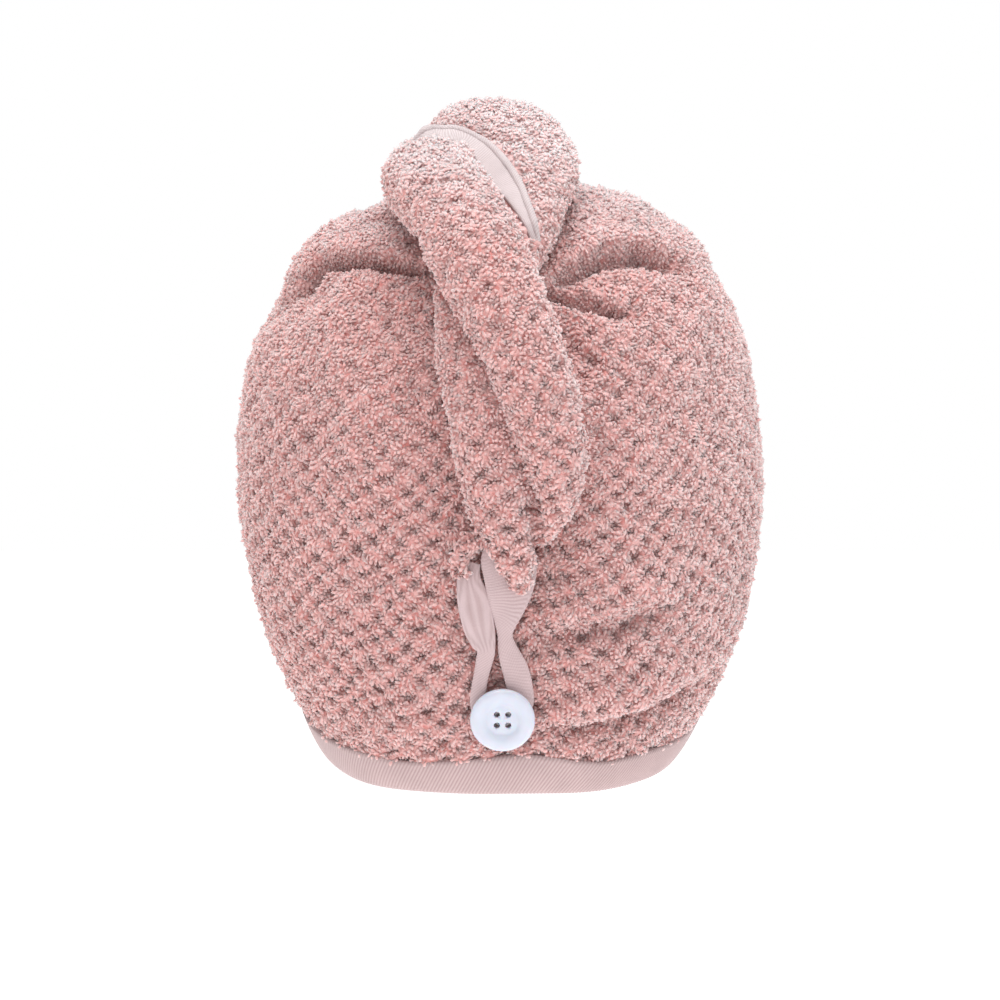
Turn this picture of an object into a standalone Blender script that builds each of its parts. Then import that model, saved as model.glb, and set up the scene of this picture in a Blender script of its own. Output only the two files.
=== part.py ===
"""Hair turban towel in its worn form.

A plush hood is open underneath for the head. A twisted tail of two strands comes up
above the brow, lies back over the crown and ends at the nape in a tape loop, which is
hooked round a sewn-on button.

Metres, +Z up. The origin is the middle of the opening for the head, at the height
halfway between nape and brow. The back of the head faces -Y and the brow +Y.
"""

from math import atan2, cos, exp, pi, sin, tau

import bmesh
import bpy
from mathutils import Vector
from mathutils.bvhtree import BVHTree

# Hood: the outer face of the plush.
HOOD_WIDTH = 0.227
HOOD_BACK = 0.1185
HOOD_FRONT = 0.117
CROWN_RISE = 0.203
NAPE_DROP = 0.055
BROW_RISE = 0.055
CLOTH_WALL = 0.005
FOLD_HEIGHT = 0.005
FOLD_SPREAD = 0.013
GATHER_HEIGHT = 0.003
GATHER_COUNT = 9

# Hem binding: a tape round the lower edge, set in a little under the pile.
HEM_HEIGHT = 0.014
HEM_WALL = 0.0034
HEM_INSET = 0.0008

# Tail: two strands wound round each other, and the tape along one cloth edge.
STRAND_WIDTH = 0.046
STRAND_DEPTH = 0.032
TAPE_WIDTH = 0.0095
TAPE_WALL = 0.0036

# Loop, button and the shank of thread under it.
LOOP_WIDTH = 0.0082
LOOP_ROOT_WIDTH = 0.0112
LOOP_WALL = 0.0030
LOOP_EYE = 0.0075
BUTTON_DIAMETER = 0.0254
BUTTON_THICKNESS = 0.0042
BUTTON_RISE = 0.034
HOLE_DIAMETER = 0.0024
HOLE_SPACING = 0.0045
SHANK_DIAMETER = 0.0050

# Clearances between pieces, which touch on the real towel.
GAP = 0.0003
HEM_SEAM = 0.0007

# Meshing.
COLUMNS = 56
ROWS = 26
BACK_BIAS = 0.42
STRAND_SIDES = 14
STRAND_STEPS = 28
LOOP_STEPS = 2
RIM_LEVEL = 0.985

# Rings of the hood from hem to crown, evenly spaced up the cloth. Rises are shares of
# the way from the hem to the crown at nape and brow. Width and lean (to the right) are
# shares of half the hood's width, back and front of its two reaches. Squareness is the
# ring's exponent.
RING = ("back_rise", "brow_rise", "width", "lean", "back", "front", "squareness")
RINGS = (
    (0.000, 0.000, 0.700, 0.005, 0.802, 0.923, 2.50),
    (0.066, 0.088, 0.792, 0.012, 0.878, 0.966, 2.40),
    (0.174, 0.196, 0.892, 0.016, 0.945, 0.991, 2.35),
    (0.310, 0.304, 0.965, 0.010, 0.987, 1.000, 2.30),
    (0.453, 0.405, 1.000, 0.000, 1.000, 0.983, 2.30),
    (0.601, 0.520, 0.978, -0.006, 0.970, 0.932, 2.25),
    (0.725, 0.642, 0.925, 0.000, 0.878, 0.838, 2.20),
    (0.833, 0.757, 0.812, 0.008, 0.726, 0.692, 2.15),
    (0.919, 0.865, 0.665, 0.012, 0.506, 0.496, 2.10),
    (0.971, 0.953, 0.450, 0.010, 0.304, 0.308, 2.05),
    (0.996, 0.993, 0.205, 0.004, 0.118, 0.120, 2.00),
    (1.000, 1.000, 0.000, 0.000, 0.000, 0.000, 2.00),
)

# Folds on the back of the hood, seen from behind. Height is a share of FOLD_HEIGHT and
# the spreads on the two sides of the line are shares of FOLD_SPREAD. The line's points
# are x as a share of half the hood's width and z as a share of CROWN_RISE.
FOLD = ("height", "left_spread", "right_spread", "line")
FOLDS = (
    # Left shoulder, bulging over the cloth below it.
    (1.2, 2.6, 0.5, ((-0.78, 0.76), (-0.62, 0.81), (-0.47, 0.80), (-0.27, 0.78))),
    (-1.0, 0.9, 0.7, ((-0.66, 0.95), (-0.50, 0.95), (-0.36, 0.88))),
    # Soft step from the left shoulder down to the middle of the back.
    (0.8, 2.4, 0.6, ((-0.71, 0.74), (-0.61, 0.68), (-0.53, 0.52), (-0.46, 0.32))),
    # Right shoulder and the hollow under it.
    (1.0, 1.4, 0.8, ((0.29, 0.96), (0.51, 0.91), (0.70, 0.82), (0.75, 0.73))),
    (-1.0, 0.8, 0.7, ((0.27, 0.76), (0.44, 0.81), (0.66, 0.84))),
    (-0.6, 0.5, 0.6, ((0.22, 0.77), (0.36, 0.74), (0.50, 0.69))),
    # Soft step down the right side.
    (0.8, 0.7, 2.2, ((0.76, 0.82), (0.72, 0.70), (0.64, 0.52))),
    # Rolls above the hem, right and then left.
    (0.7, 1.0, 0.3, ((0.10, 0.08), (0.34, 0.10), (0.46, 0.12), (0.71, 0.15))),
    (0.4, 0.7, 0.3, ((0.28, 0.01), (0.42, 0.00), (0.55, 0.02))),
    (0.8, 0.9, 0.3, ((0.14, -0.11), (0.34, -0.10), (0.51, -0.08), (0.78, -0.01))),
    (0.5, 0.8, 0.3, ((-0.32, -0.09), (-0.22, -0.07), (-0.11, -0.07))),
    (0.5, 0.8, 0.3, ((-0.41, -0.14), (-0.28, -0.14), (-0.17, -0.13))),
)

# Stations along the two strands of the tail. Along runs from -1 at the brow's hem over
# the crown at 0 to 1 at the nape's hem. Side and half_width are shares of STRAND_WIDTH,
# stand_off (from the hood's middle line) and half_depth are shares of STRAND_DEPTH.
STATION = ("along", "side", "stand_off", "half_width", "half_depth")
RIGHT_STRAND = (
    (-0.46, 0.00, -0.45, 1.15, 0.30),
    (-0.37, 0.00, -0.18, 1.05, 0.40),
    (-0.28, 0.00, 0.10, 0.85, 0.46),
    (-0.17, -0.02, 0.34, 0.68, 0.58),
    (-0.06, -0.04, 0.46, 0.66, 0.66),
    (0.05, -0.02, 0.48, 0.64, 0.64),
    (0.13, 0.06, 0.44, 0.60, 0.58),
    (0.21, 0.18, 0.36, 0.54, 0.48),
    (0.31, 0.12, 0.30, 0.45, 0.44),
    (0.41, -0.16, 0.32, 0.43, 0.44),
    (0.50, -0.14, 0.42, 0.42, 0.47),
    (0.57, -0.01, 0.52, 0.39, 0.46),
    (0.63, 0.06, 0.50, 0.34, 0.40),
    (0.68, 0.09, 0.38, 0.26, 0.28),
    (0.72, 0.13, 0.28, 0.16, 0.15),
)
LEFT_STRAND = (
    (-0.34, -0.20, -0.30, 0.30, 0.25),
    (-0.24, -0.30, -0.05, 0.36, 0.36),
    (-0.12, -0.40, 0.05, 0.36, 0.40),
    (-0.01, -0.44, 0.12, 0.38, 0.42),
    (0.09, -0.45, 0.20, 0.42, 0.46),
    (0.17, -0.52, 0.35, 0.46, 0.50),
    (0.24, -0.60, 0.52, 0.50, 0.50),
    (0.30, -0.48, 0.68, 0.50, 0.50),
    (0.36, -0.30, 0.80, 0.50, 0.49),
    (0.42, -0.12, 0.86, 0.49, 0.48),
    (0.49, 0.09, 0.84, 0.46, 0.47),
    (0.56, 0.30, 0.68, 0.44, 0.47),
    (0.62, 0.37, 0.44, 0.37, 0.42),
    (0.66, 0.15, 0.32, 0.30, 0.30),
    (0.69, -0.12, 0.26, 0.22, 0.22),
    (0.715, -0.24, 0.24, 0.15, 0.15),
)

# Line of the tape on the tail, seen from behind: x as a share of half the hood's width
# and z as a share of CROWN_RISE.
TAPE_LINE = (
    (-0.31, 1.035), (-0.23, 1.065), (-0.14, 1.075), (-0.05, 1.06), (0.01, 1.02),
    (0.06, 0.975), (0.10, 0.93), (0.13, 0.88), (0.16, 0.82),
)

# The loop's line between the tail's two ends, pinched to a waist and then round the
# shank. Across is a share of LOOP_EYE, up runs from the button's middle at 0 to the
# tail's right end at 1, layer is how many walls of the tape lie under its middle, and
# width is a share of LOOP_WIDTH.
LOOP_POINT = ("across", "up", "layer", "width")
LOOP_LINE = (
    (-1.10, 0.90, 1.80, 1.30), (-0.85, 0.72, 1.90, 1.10), (-0.62, 0.58, 1.80, 0.72),
    (-0.85, 0.40, 1.30, 0.76), (-1.02, 0.22, 0.85, 0.80), (-1.10, 0.03, 0.70, 0.80),
    (-0.80, -0.14, 0.70, 0.80), (0.00, -0.22, 0.70, 0.80), (0.80, -0.14, 0.70, 0.80),
    (1.10, 0.03, 0.70, 0.90), (1.15, 0.22, 0.85, 1.00), (0.92, 0.40, 1.10, 0.96),
    (0.66, 0.58, 1.60, 0.74), (0.56, 0.70, 1.90, 0.90), (0.50, 0.85, 2.00, 1.20),
)
LOOP_ROOT = 0.05

PLUSH = ("plush", (0.565, 0.318, 0.296), 0.92)
TWILL = ("twill_tape", (0.680, 0.455, 0.445), 0.80)
GLOSS = ("button_gloss", (0.800, 0.820, 0.870), 0.22)
THREAD = ("white_thread", (0.780, 0.740, 0.740), 0.70)


def spline(rows, t):
    """Values at t, 0 to 1, on a smooth curve through evenly spaced rows."""
    span = len(rows) - 1
    at = min(max(t, 0.0), 1.0) * span
    i = min(int(at), span - 1)
    f = at - i
    p0, p1, p2, p3 = (rows[min(max(i + k, 0), span)] for k in (-1, 0, 1, 2))
    return [
        0.5 * (2 * b + (c - a) * f + (2 * a - 5 * b + 4 * c - d) * f * f
               + (3 * b - a - 3 * c + d) * f ** 3)
        for a, b, c, d in zip(p0, p1, p2, p3)
    ]


def smooth(x):
    """Soft step from 0 to 1."""
    x = min(max(x, 0.0), 1.0)
    return x * x * (3 - 2 * x)


def hood_point(theta, level):
    """Point of the unfolded hood: theta runs round from the nape, level up from the hem."""
    r = dict(zip(RING, spline(RINGS, level)))
    nape = -NAPE_DROP + r["back_rise"] * (CROWN_RISE + NAPE_DROP)
    brow = BROW_RISE + r["brow_rise"] * (CROWN_RISE - BROW_RISE)
    z = nape + (brow - nape) * (0.5 - 0.5 * cos(theta)) ** 1.5
    half = max(HOOD_WIDTH / 2 * r["width"], 1e-5)
    reach = HOOD_BACK * r["back"] if cos(theta) > 0 else HOOD_FRONT * r["front"]
    n = r["squareness"]
    radius = (abs(sin(theta) / half) ** n + abs(cos(theta) / max(reach, 1e-5)) ** n) ** (-1 / n)
    x = radius * sin(theta) + HOOD_WIDTH / 2 * r["lean"]
    return Vector((x, -radius * cos(theta), z))


def hood_normal(theta, level):
    step = 0.01
    round_it = hood_point(theta + step, level) - hood_point(theta - step, level)
    up = hood_point(theta, level + step) - hood_point(theta, level - step)
    return round_it.cross(up).normalized()


def from_line(line, x, z):
    """Signed distance from a fold's line, left side positive, and where along it."""
    best = (1.0, 0.0)
    point = Vector((x, z))
    for i in range(len(line) - 1):
        a = Vector((line[i][0] * HOOD_WIDTH / 2, line[i][1] * CROWN_RISE))
        b = Vector((line[i + 1][0] * HOOD_WIDTH / 2, line[i + 1][1] * CROWN_RISE))
        run = b - a
        t = min(max((point - a).dot(run) / run.length_squared, 0.0), 1.0)
        off = point - (a + run * t)
        if off.length < abs(best[0]):
            side = 1.0 if run.cross(off) >= 0 else -1.0
            best = (side * off.length, (i + t) / (len(line) - 1))
    return best


def fold_push(x, z):
    """How far the folds push the cloth out at x, z on the back."""
    push = 0.0
    for row in FOLDS:
        fold = dict(zip(FOLD, row))
        off, along = from_line(fold["line"], x, z)
        spread = fold["left_spread"] if off > 0 else fold["right_spread"]
        fade = smooth(min(along, 1 - along) / 0.3)
        push += fold["height"] * fade * exp(-((off / (spread * FOLD_SPREAD)) ** 2))
    return push * FOLD_HEIGHT


def gather_push(x, z):
    """How far the gathers under the tail's root push the cloth out on the front."""
    down = CROWN_RISE - z
    turn = atan2(x, max(down, 1e-4))
    reach = (x * x + down * down) ** 0.5 / (CROWN_RISE - BROW_RISE)
    fade = smooth(reach / 0.35) * smooth((1.25 - reach) / 0.6)
    return GATHER_HEIGHT * fade * cos(turn * GATHER_COUNT)


def hood_face(theta, level, stand_off=0.0):
    """Point on the folded hood, or stand_off outside it."""
    p = hood_point(theta, level)
    facing = cos(theta)
    if facing > 0:
        push = fold_push(p.x, p.z) * smooth(facing * 3)
    else:
        push = gather_push(p.x, p.z) * smooth(-facing * 2)
    return p + hood_normal(theta, level) * (push + stand_off)


def column_angle(i):
    """Angle of a column, closer together at the back, where the folds are."""
    t = i / COLUMNS
    return tau * t - BACK_BIAS * sin(tau * t)


def level_at(theta, height):
    """Level at which the cloth is this height above its lower edge."""
    low, high = 0.0, 0.5
    edge = hood_point(theta, 0.0).z
    for _ in range(24):
        middle = (low + high) / 2
        if hood_point(theta, middle).z - edge < height:
            low = middle
        else:
            high = middle
    return low


def collection(name, parts=True):
    made = bpy.data.collections.new(name)
    bpy.context.scene.collection.children.link(made)
    made.hide_render = not parts
    return made


def finish_material(finish):
    name, colour, roughness = finish
    if name in bpy.data.materials:
        return bpy.data.materials[name]
    made = bpy.data.materials.new(name)
    made.use_nodes = True
    shader = made.node_tree.nodes["Principled BSDF"]
    shader.inputs["Base Color"].default_value = (*colour, 1.0)
    shader.inputs["Roughness"].default_value = roughness
    return made


def add_object(name, mesh, home, finish=None):
    made = bpy.data.objects.new(name, mesh)
    home.objects.link(made)
    if finish:
        mesh.materials.append(finish_material(finish))
        mesh.shade_smooth()
    else:
        made.hide_render = True
        made.display_type = "WIRE"
    return made


def mesh_from(bm, name):
    mesh = bpy.data.meshes.new(name)
    bm.to_mesh(mesh)
    bm.free()
    return mesh


def bridge(bm, lower, upper):
    """Triangles between two rings, always split the same way, so that offsets match."""
    for i in range(len(lower)):
        j = (i + 1) % len(lower)
        bm.faces.new((lower[i], lower[j], upper[j]))
        bm.faces.new((lower[i], upper[j], upper[i]))


def hood_mesh(name, stand_off=0.0, closed=False):
    """The hood's outer face as an open surface, or closed underneath as a cutter."""
    bm = bmesh.new()
    angles = [column_angle(i) for i in range(COLUMNS)]
    starts = [level_at(a, HEM_HEIGHT + HEM_SEAM) for a in angles]
    rings = []
    for k in range(ROWS + 1):
        t = k / ROWS
        rings.append([
            bm.verts.new(hood_face(a, s + (RIM_LEVEL - s) * t, stand_off))
            for a, s in zip(angles, starts)
        ])
    for lower, upper in zip(rings, rings[1:]):
        bridge(bm, lower, upper)
    top = bm.verts.new((0, 0, CROWN_RISE + stand_off))
    for a, b in zip(rings[-1], rings[-1][1:] + rings[-1][:1]):
        bm.faces.new((a, b, top))
    if closed:
        middle = sum((v.co for v in rings[0]), Vector()) / COLUMNS
        base = bm.verts.new(middle)
        for a, b in zip(rings[0], rings[0][1:] + rings[0][:1]):
            bm.faces.new((b, a, base))
    return mesh_from(bm, name)


def make_hood(parts):
    hood = add_object("hood", hood_mesh("hood"), parts, PLUSH)
    wall = hood.modifiers.new("cloth_wall", "SOLIDIFY")
    wall.thickness = CLOTH_WALL
    wall.offset = -1.0
    return hood


def make_hem(parts):
    """The binding as a closed ring with softened edges."""
    section = (
        (0.00, 0.30), (0.10, 0.00), (1.00, 0.00), (1.00, 1.00), (0.10, 1.00),
        (0.00, 0.70),
    )
    bm = bmesh.new()
    rings = []
    for up, depth in section:
        ring = []
        for i in range(COLUMNS):
            theta = column_angle(i)
            level = level_at(theta, HEM_HEIGHT * up)
            inward = HEM_INSET + HEM_WALL * depth
            p = hood_point(theta, level) - hood_normal(theta, max(level, 0.02)) * inward
            ring.append(bm.verts.new(p))
        rings.append(ring)
    for lower, upper in zip(rings, rings[1:] + rings[:1]):
        bridge(bm, lower, upper)
    return add_object("hem_binding", mesh_from(bm, "hem_binding"), parts, TWILL)


def spine(along):
    """Middle line of the hood over the crown, and its outward direction."""
    def at(u):
        return hood_point(0.0 if u > 0 else pi, 1.0 - abs(u))
    point = at(along)
    run = at(along + 0.05) - at(along - 0.05)
    return point, run.cross(Vector((1, 0, 0))).normalized()


def outward_at(z):
    """The hood's outward direction at this height on the middle of its back."""
    return spine(1.0 - level_at(0.0, z + NAPE_DROP))[1]


def superellipse(sides, power):
    """Unit section as (across, out) pairs."""
    points = []
    for i in range(sides):
        a = tau * i / sides
        r = (abs(cos(a)) ** power + abs(sin(a)) ** power) ** (-1 / power)
        points.append((r * cos(a), r * sin(a)))
    return points


def tube_mesh(name, frames, section):
    """Closed tube through frames of (centre, outward, half_width, half_depth)."""
    bm = bmesh.new()
    rings = []
    last = len(frames) - 1
    for i, (centre, outward, half_width, half_depth) in enumerate(frames):
        run = frames[min(i + 1, last)][0] - frames[max(i - 1, 0)][0]
        across = outward.cross(run).normalized()
        out = run.cross(across).normalized()
        rings.append([
            bm.verts.new(centre + across * (half_width * a) + out * (half_depth * b))
            for a, b in section
        ])
    for lower, upper in zip(rings, rings[1:]):
        bridge(bm, lower, upper)
    for ring, order in ((rings[0], -1), (rings[-1], 1)):
        middle = bm.verts.new(sum((v.co for v in ring), Vector()) / len(ring))
        for i in range(len(ring)):
            pair = (ring[i], ring[(i + 1) % len(ring)])
            bm.faces.new((*pair[::order], middle))
    bmesh.ops.recalc_face_normals(bm, faces=bm.faces)
    return mesh_from(bm, name)


def strand_frame(table, t):
    s = dict(zip(STATION, spline(table, t)))
    point, outward = spine(s["along"])
    centre = (point + outward * (s["stand_off"] * STRAND_DEPTH)
              + Vector((s["side"] * STRAND_WIDTH, 0, 0)))
    return centre, outward, s["half_width"] * STRAND_WIDTH, s["half_depth"] * STRAND_DEPTH


def strand_mesh(name, table):
    frames = [strand_frame(table, i / STRAND_STEPS) for i in range(STRAND_STEPS + 1)]
    return tube_mesh(name, frames, superellipse(STRAND_SIDES, 2.15))


def surface_of(obj):
    """A tree for casting rays at an object as its modifiers leave it."""
    return BVHTree.FromObject(obj, bpy.context.evaluated_depsgraph_get())


def seen_from_behind(tree, x, z):
    """Where a ray along +Y meets the surface, and the surface's normal there."""
    hit, normal, _, _ = tree.ray_cast(Vector((x, -1.0, z)), Vector((0, 1, 0)))
    return hit, normal


def boolean(obj, operation, other):
    cut = obj.modifiers.new(operation.lower() + "_" + other.name, "BOOLEAN")
    cut.operation = operation
    cut.object = other
    cut.solver = "EXACT"


def tape_frames(tree, grow):
    """Frames of the tape, laid on the tail along its line."""
    steps = 3 * (len(TAPE_LINE) - 1)
    places = []
    for i in range(steps + 1):
        x, z = spline(TAPE_LINE, i / steps)
        hit, normal = seen_from_behind(tree, x * HOOD_WIDTH / 2, z * CROWN_RISE)
        if hit:
            places.append((hit, normal))
    frames = []
    for i in range(len(places)):
        near = places[max(i - 4, 0):i + 5]
        outward = sum((n for _, n in near), Vector()).normalized()
        reach = min(i, len(places) - 1 - i, 3)
        level = [p for p, _ in places[i - reach:i + reach + 1]]
        centre = sum(level, Vector()) / len(level)
        frames.append((centre, outward, TAPE_WIDTH / 2 + grow, TAPE_WALL / 2 + grow))
    if grow:
        run = (frames[-1][0] - frames[-2][0]).normalized() * grow
        back = (frames[0][0] - frames[1][0]).normalized() * grow
        frames[-1] = (frames[-1][0] + run, *frames[-1][1:])
        frames[0] = (frames[0][0] + back, *frames[0][1:])
    return frames


def loop_frames(tree, grow):
    """Frames of the loop, out of the tail's left end, over the hood and back in."""
    middle = -NAPE_DROP + BUTTON_RISE
    roots = [[(*strand_frame(table, t)[0], LOOP_ROOT_WIDTH) for t in (1.0 - LOOP_ROOT, 1.0)]
             for table in (LEFT_STRAND, RIGHT_STRAND)]
    reach = roots[1][1][2] - middle
    points = []
    for row in LOOP_LINE:
        p = dict(zip(LOOP_POINT, row))
        z = middle + p["up"] * reach
        hit, _ = seen_from_behind(tree, p["across"] * LOOP_EYE, z)
        place = hit + outward_at(z) * (p["layer"] * LOOP_WALL)
        points.append((*place, p["width"] * LOOP_WIDTH))
    points = [*roots[0], *points, *roots[1][::-1]]
    steps = LOOP_STEPS * (len(points) - 1)
    frames = []
    for i in range(steps + 1):
        *place, width = spline(points, i / steps)
        frames.append((Vector(place), outward_at(place[2]), width / 2 + grow,
                       LOOP_WALL / 2 + grow))
    return frames


def make_button(parts, cutters, place, outward):
    """Turned disc with a raised rim and a dish, then four holes."""
    radius, half = BUTTON_DIAMETER / 2, BUTTON_THICKNESS / 2
    profile = (
        (0.00, -1.00), (0.70, -1.00), (0.90, -0.75), (0.98, -0.25), (1.00, 0.15),
        (0.96, 0.70), (0.86, 1.00), (0.74, 0.92), (0.62, 0.45), (0.50, 0.15),
        (0.00, 0.10),
    )
    bm = bmesh.new()
    points = [bm.verts.new((r * radius, 0, h * half)) for r, h in profile]
    for a, b in zip(points, points[1:]):
        bm.edges.new((a, b))
    bmesh.ops.spin(bm, geom=bm.verts[:] + bm.edges[:], cent=(0, 0, 0), axis=(0, 0, 1),
                   angle=tau, steps=24, use_merge=True)
    bmesh.ops.remove_doubles(bm, verts=bm.verts, dist=1e-5)
    bmesh.ops.recalc_face_normals(bm, faces=bm.faces)
    button = add_object("button", mesh_from(bm, "button"), parts, GLOSS)
    turn = Vector((0, 0, 1)).rotation_difference(outward)
    button.location = place
    button.rotation_mode = "QUATERNION"
    button.rotation_quaternion = turn
    bpy.ops.object.select_all(action="DESELECT")
    for x in (-0.5, 0.5):
        for y in (-0.5, 0.5):
            at = Vector((x * HOLE_SPACING, y * HOLE_SPACING, 0))
            bpy.ops.mesh.primitive_cylinder_add(
                vertices=14, radius=HOLE_DIAMETER / 2, depth=3 * BUTTON_THICKNESS,
                location=place + turn @ at)
            hole = bpy.context.object
            hole.name = "button_hole"
            hole.rotation_mode = "QUATERNION"
            hole.rotation_quaternion = turn
            hole.hide_render = True
            hole.display_type = "WIRE"
            for home in list(hole.users_collection):
                home.objects.unlink(hole)
            cutters.objects.link(hole)
            boolean(button, "DIFFERENCE", hole)
    return button


def main():
    for old in list(bpy.data.objects):
        bpy.data.objects.remove(old, do_unlink=True)
    parts = collection("hair_turban_towel")
    cutters = collection("cutters", parts=False)

    make_hood(parts)
    make_hem(parts)
    envelope = add_object("hood_envelope", hood_mesh("hood_envelope", GAP, True), cutters)

    tail = add_object("tail", strand_mesh("tail", LEFT_STRAND), parts, PLUSH)
    right = add_object("right_strand", strand_mesh("right_strand", RIGHT_STRAND), cutters)
    boolean(tail, "UNION", right)
    bpy.context.view_layer.update()
    tail_surface = surface_of(tail)
    hood_surface = surface_of(envelope)

    section = superellipse(8, 4.0)
    for name, frames_on, tree in (("tail_binding", tape_frames, tail_surface),
                                  ("loop", loop_frames, hood_surface)):
        piece = add_object(name, tube_mesh(name, frames_on(tree, 0.0), section), parts, TWILL)
        grown = tube_mesh(name + "_room", frames_on(tree, 2 * GAP), section)
        boolean(tail, "DIFFERENCE", add_object(name + "_room", grown, cutters))
        boolean(piece, "DIFFERENCE", envelope)
    boolean(tail, "DIFFERENCE", envelope)

    seat, _ = seen_from_behind(hood_surface, 0.0, -NAPE_DROP + BUTTON_RISE)
    outward = outward_at(seat.z)
    stand_off = 1.4 * LOOP_WALL + BUTTON_THICKNESS / 2
    make_button(parts, cutters, seat + outward * stand_off, outward)

    length = stand_off - BUTTON_THICKNESS / 2 - GAP
    bpy.ops.mesh.primitive_cylinder_add(
        vertices=16, radius=SHANK_DIAMETER / 2, depth=2 * length, location=seat)
    shank = bpy.context.object
    shank.name = "button_thread"
    shank.rotation_mode = "QUATERNION"
    shank.rotation_quaternion = Vector((0, 0, 1)).rotation_difference(outward)
    shank.data.materials.append(finish_material(THREAD))
    shank.data.shade_smooth()
    for home in list(shank.users_collection):
        home.objects.unlink(shank)
    parts.objects.link(shank)
    boolean(shank, "DIFFERENCE", envelope)


main()
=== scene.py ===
import math

import bmesh
import bpy
import numpy as np
from mathutils import Matrix, Vector, noise
from mathutils.bvhtree import BVHTree
from mathutils.kdtree import KDTree


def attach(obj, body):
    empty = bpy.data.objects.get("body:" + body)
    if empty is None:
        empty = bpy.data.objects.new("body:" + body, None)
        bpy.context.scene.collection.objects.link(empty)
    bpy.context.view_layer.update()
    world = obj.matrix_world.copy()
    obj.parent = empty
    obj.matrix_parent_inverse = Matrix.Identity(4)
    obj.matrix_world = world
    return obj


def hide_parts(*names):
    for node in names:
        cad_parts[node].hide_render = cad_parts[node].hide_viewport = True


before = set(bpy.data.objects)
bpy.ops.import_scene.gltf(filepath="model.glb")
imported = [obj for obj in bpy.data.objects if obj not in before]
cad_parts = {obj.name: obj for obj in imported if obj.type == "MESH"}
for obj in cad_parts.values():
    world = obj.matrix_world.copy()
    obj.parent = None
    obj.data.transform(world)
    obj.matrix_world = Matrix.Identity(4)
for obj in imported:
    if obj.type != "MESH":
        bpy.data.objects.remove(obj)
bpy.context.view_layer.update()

scene = bpy.context.scene

# Hood: outer reaches of the worn cloth, in metres, as the solids have them.
hoodForm = {
    "width": 0.227, "back": 0.1185, "front": 0.117,
    "crownRise": 0.203, "napeDrop": 0.055, "browRise": 0.055,
    "wall": 0.0042,           # cloth and its back, without the pile
    "foldHeight": 0.005, "foldSpread": 0.013,
    "gatherHeight": 0.003, "gatherCount": 9,
    "hemHeight": 0.014, "rimLevel": 0.985, "backBias": 0.42,
    "columns": 352, "rows": 168,
    "creaseSpread": 0.4,      # a fold narrower than this is a crease
    "creaseShadeAndDip": 0.6,        # how far a crease darkens the plush with painted shade and shortens the pile
}
# backRise, browRise, width, lean, back, front, squareness, from hem to crown
hoodRings = np.array((
    (0.000, 0.000, 0.700, 0.005, 0.802, 0.923, 2.50),
    (0.066, 0.088, 0.792, 0.012, 0.878, 0.966, 2.40),
    (0.174, 0.196, 0.910, 0.010, 0.945, 0.991, 2.35),
    (0.310, 0.304, 0.974, 0.006, 0.987, 1.000, 2.30),
    (0.453, 0.405, 1.000, 0.000, 1.000, 0.983, 2.30),
    (0.601, 0.520, 0.978, -0.006, 0.970, 0.932, 2.25),
    (0.725, 0.642, 0.925, 0.000, 0.878, 0.838, 2.20),
    (0.833, 0.757, 0.812, 0.008, 0.726, 0.692, 2.15),
    (0.919, 0.865, 0.665, 0.012, 0.506, 0.496, 2.10),
    (0.971, 0.953, 0.450, 0.010, 0.304, 0.308, 2.05),
    (0.996, 0.993, 0.205, 0.004, 0.118, 0.120, 2.00),
    (1.000, 1.000, 0.000, 0.000, 0.000, 0.000, 2.00),
))
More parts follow.
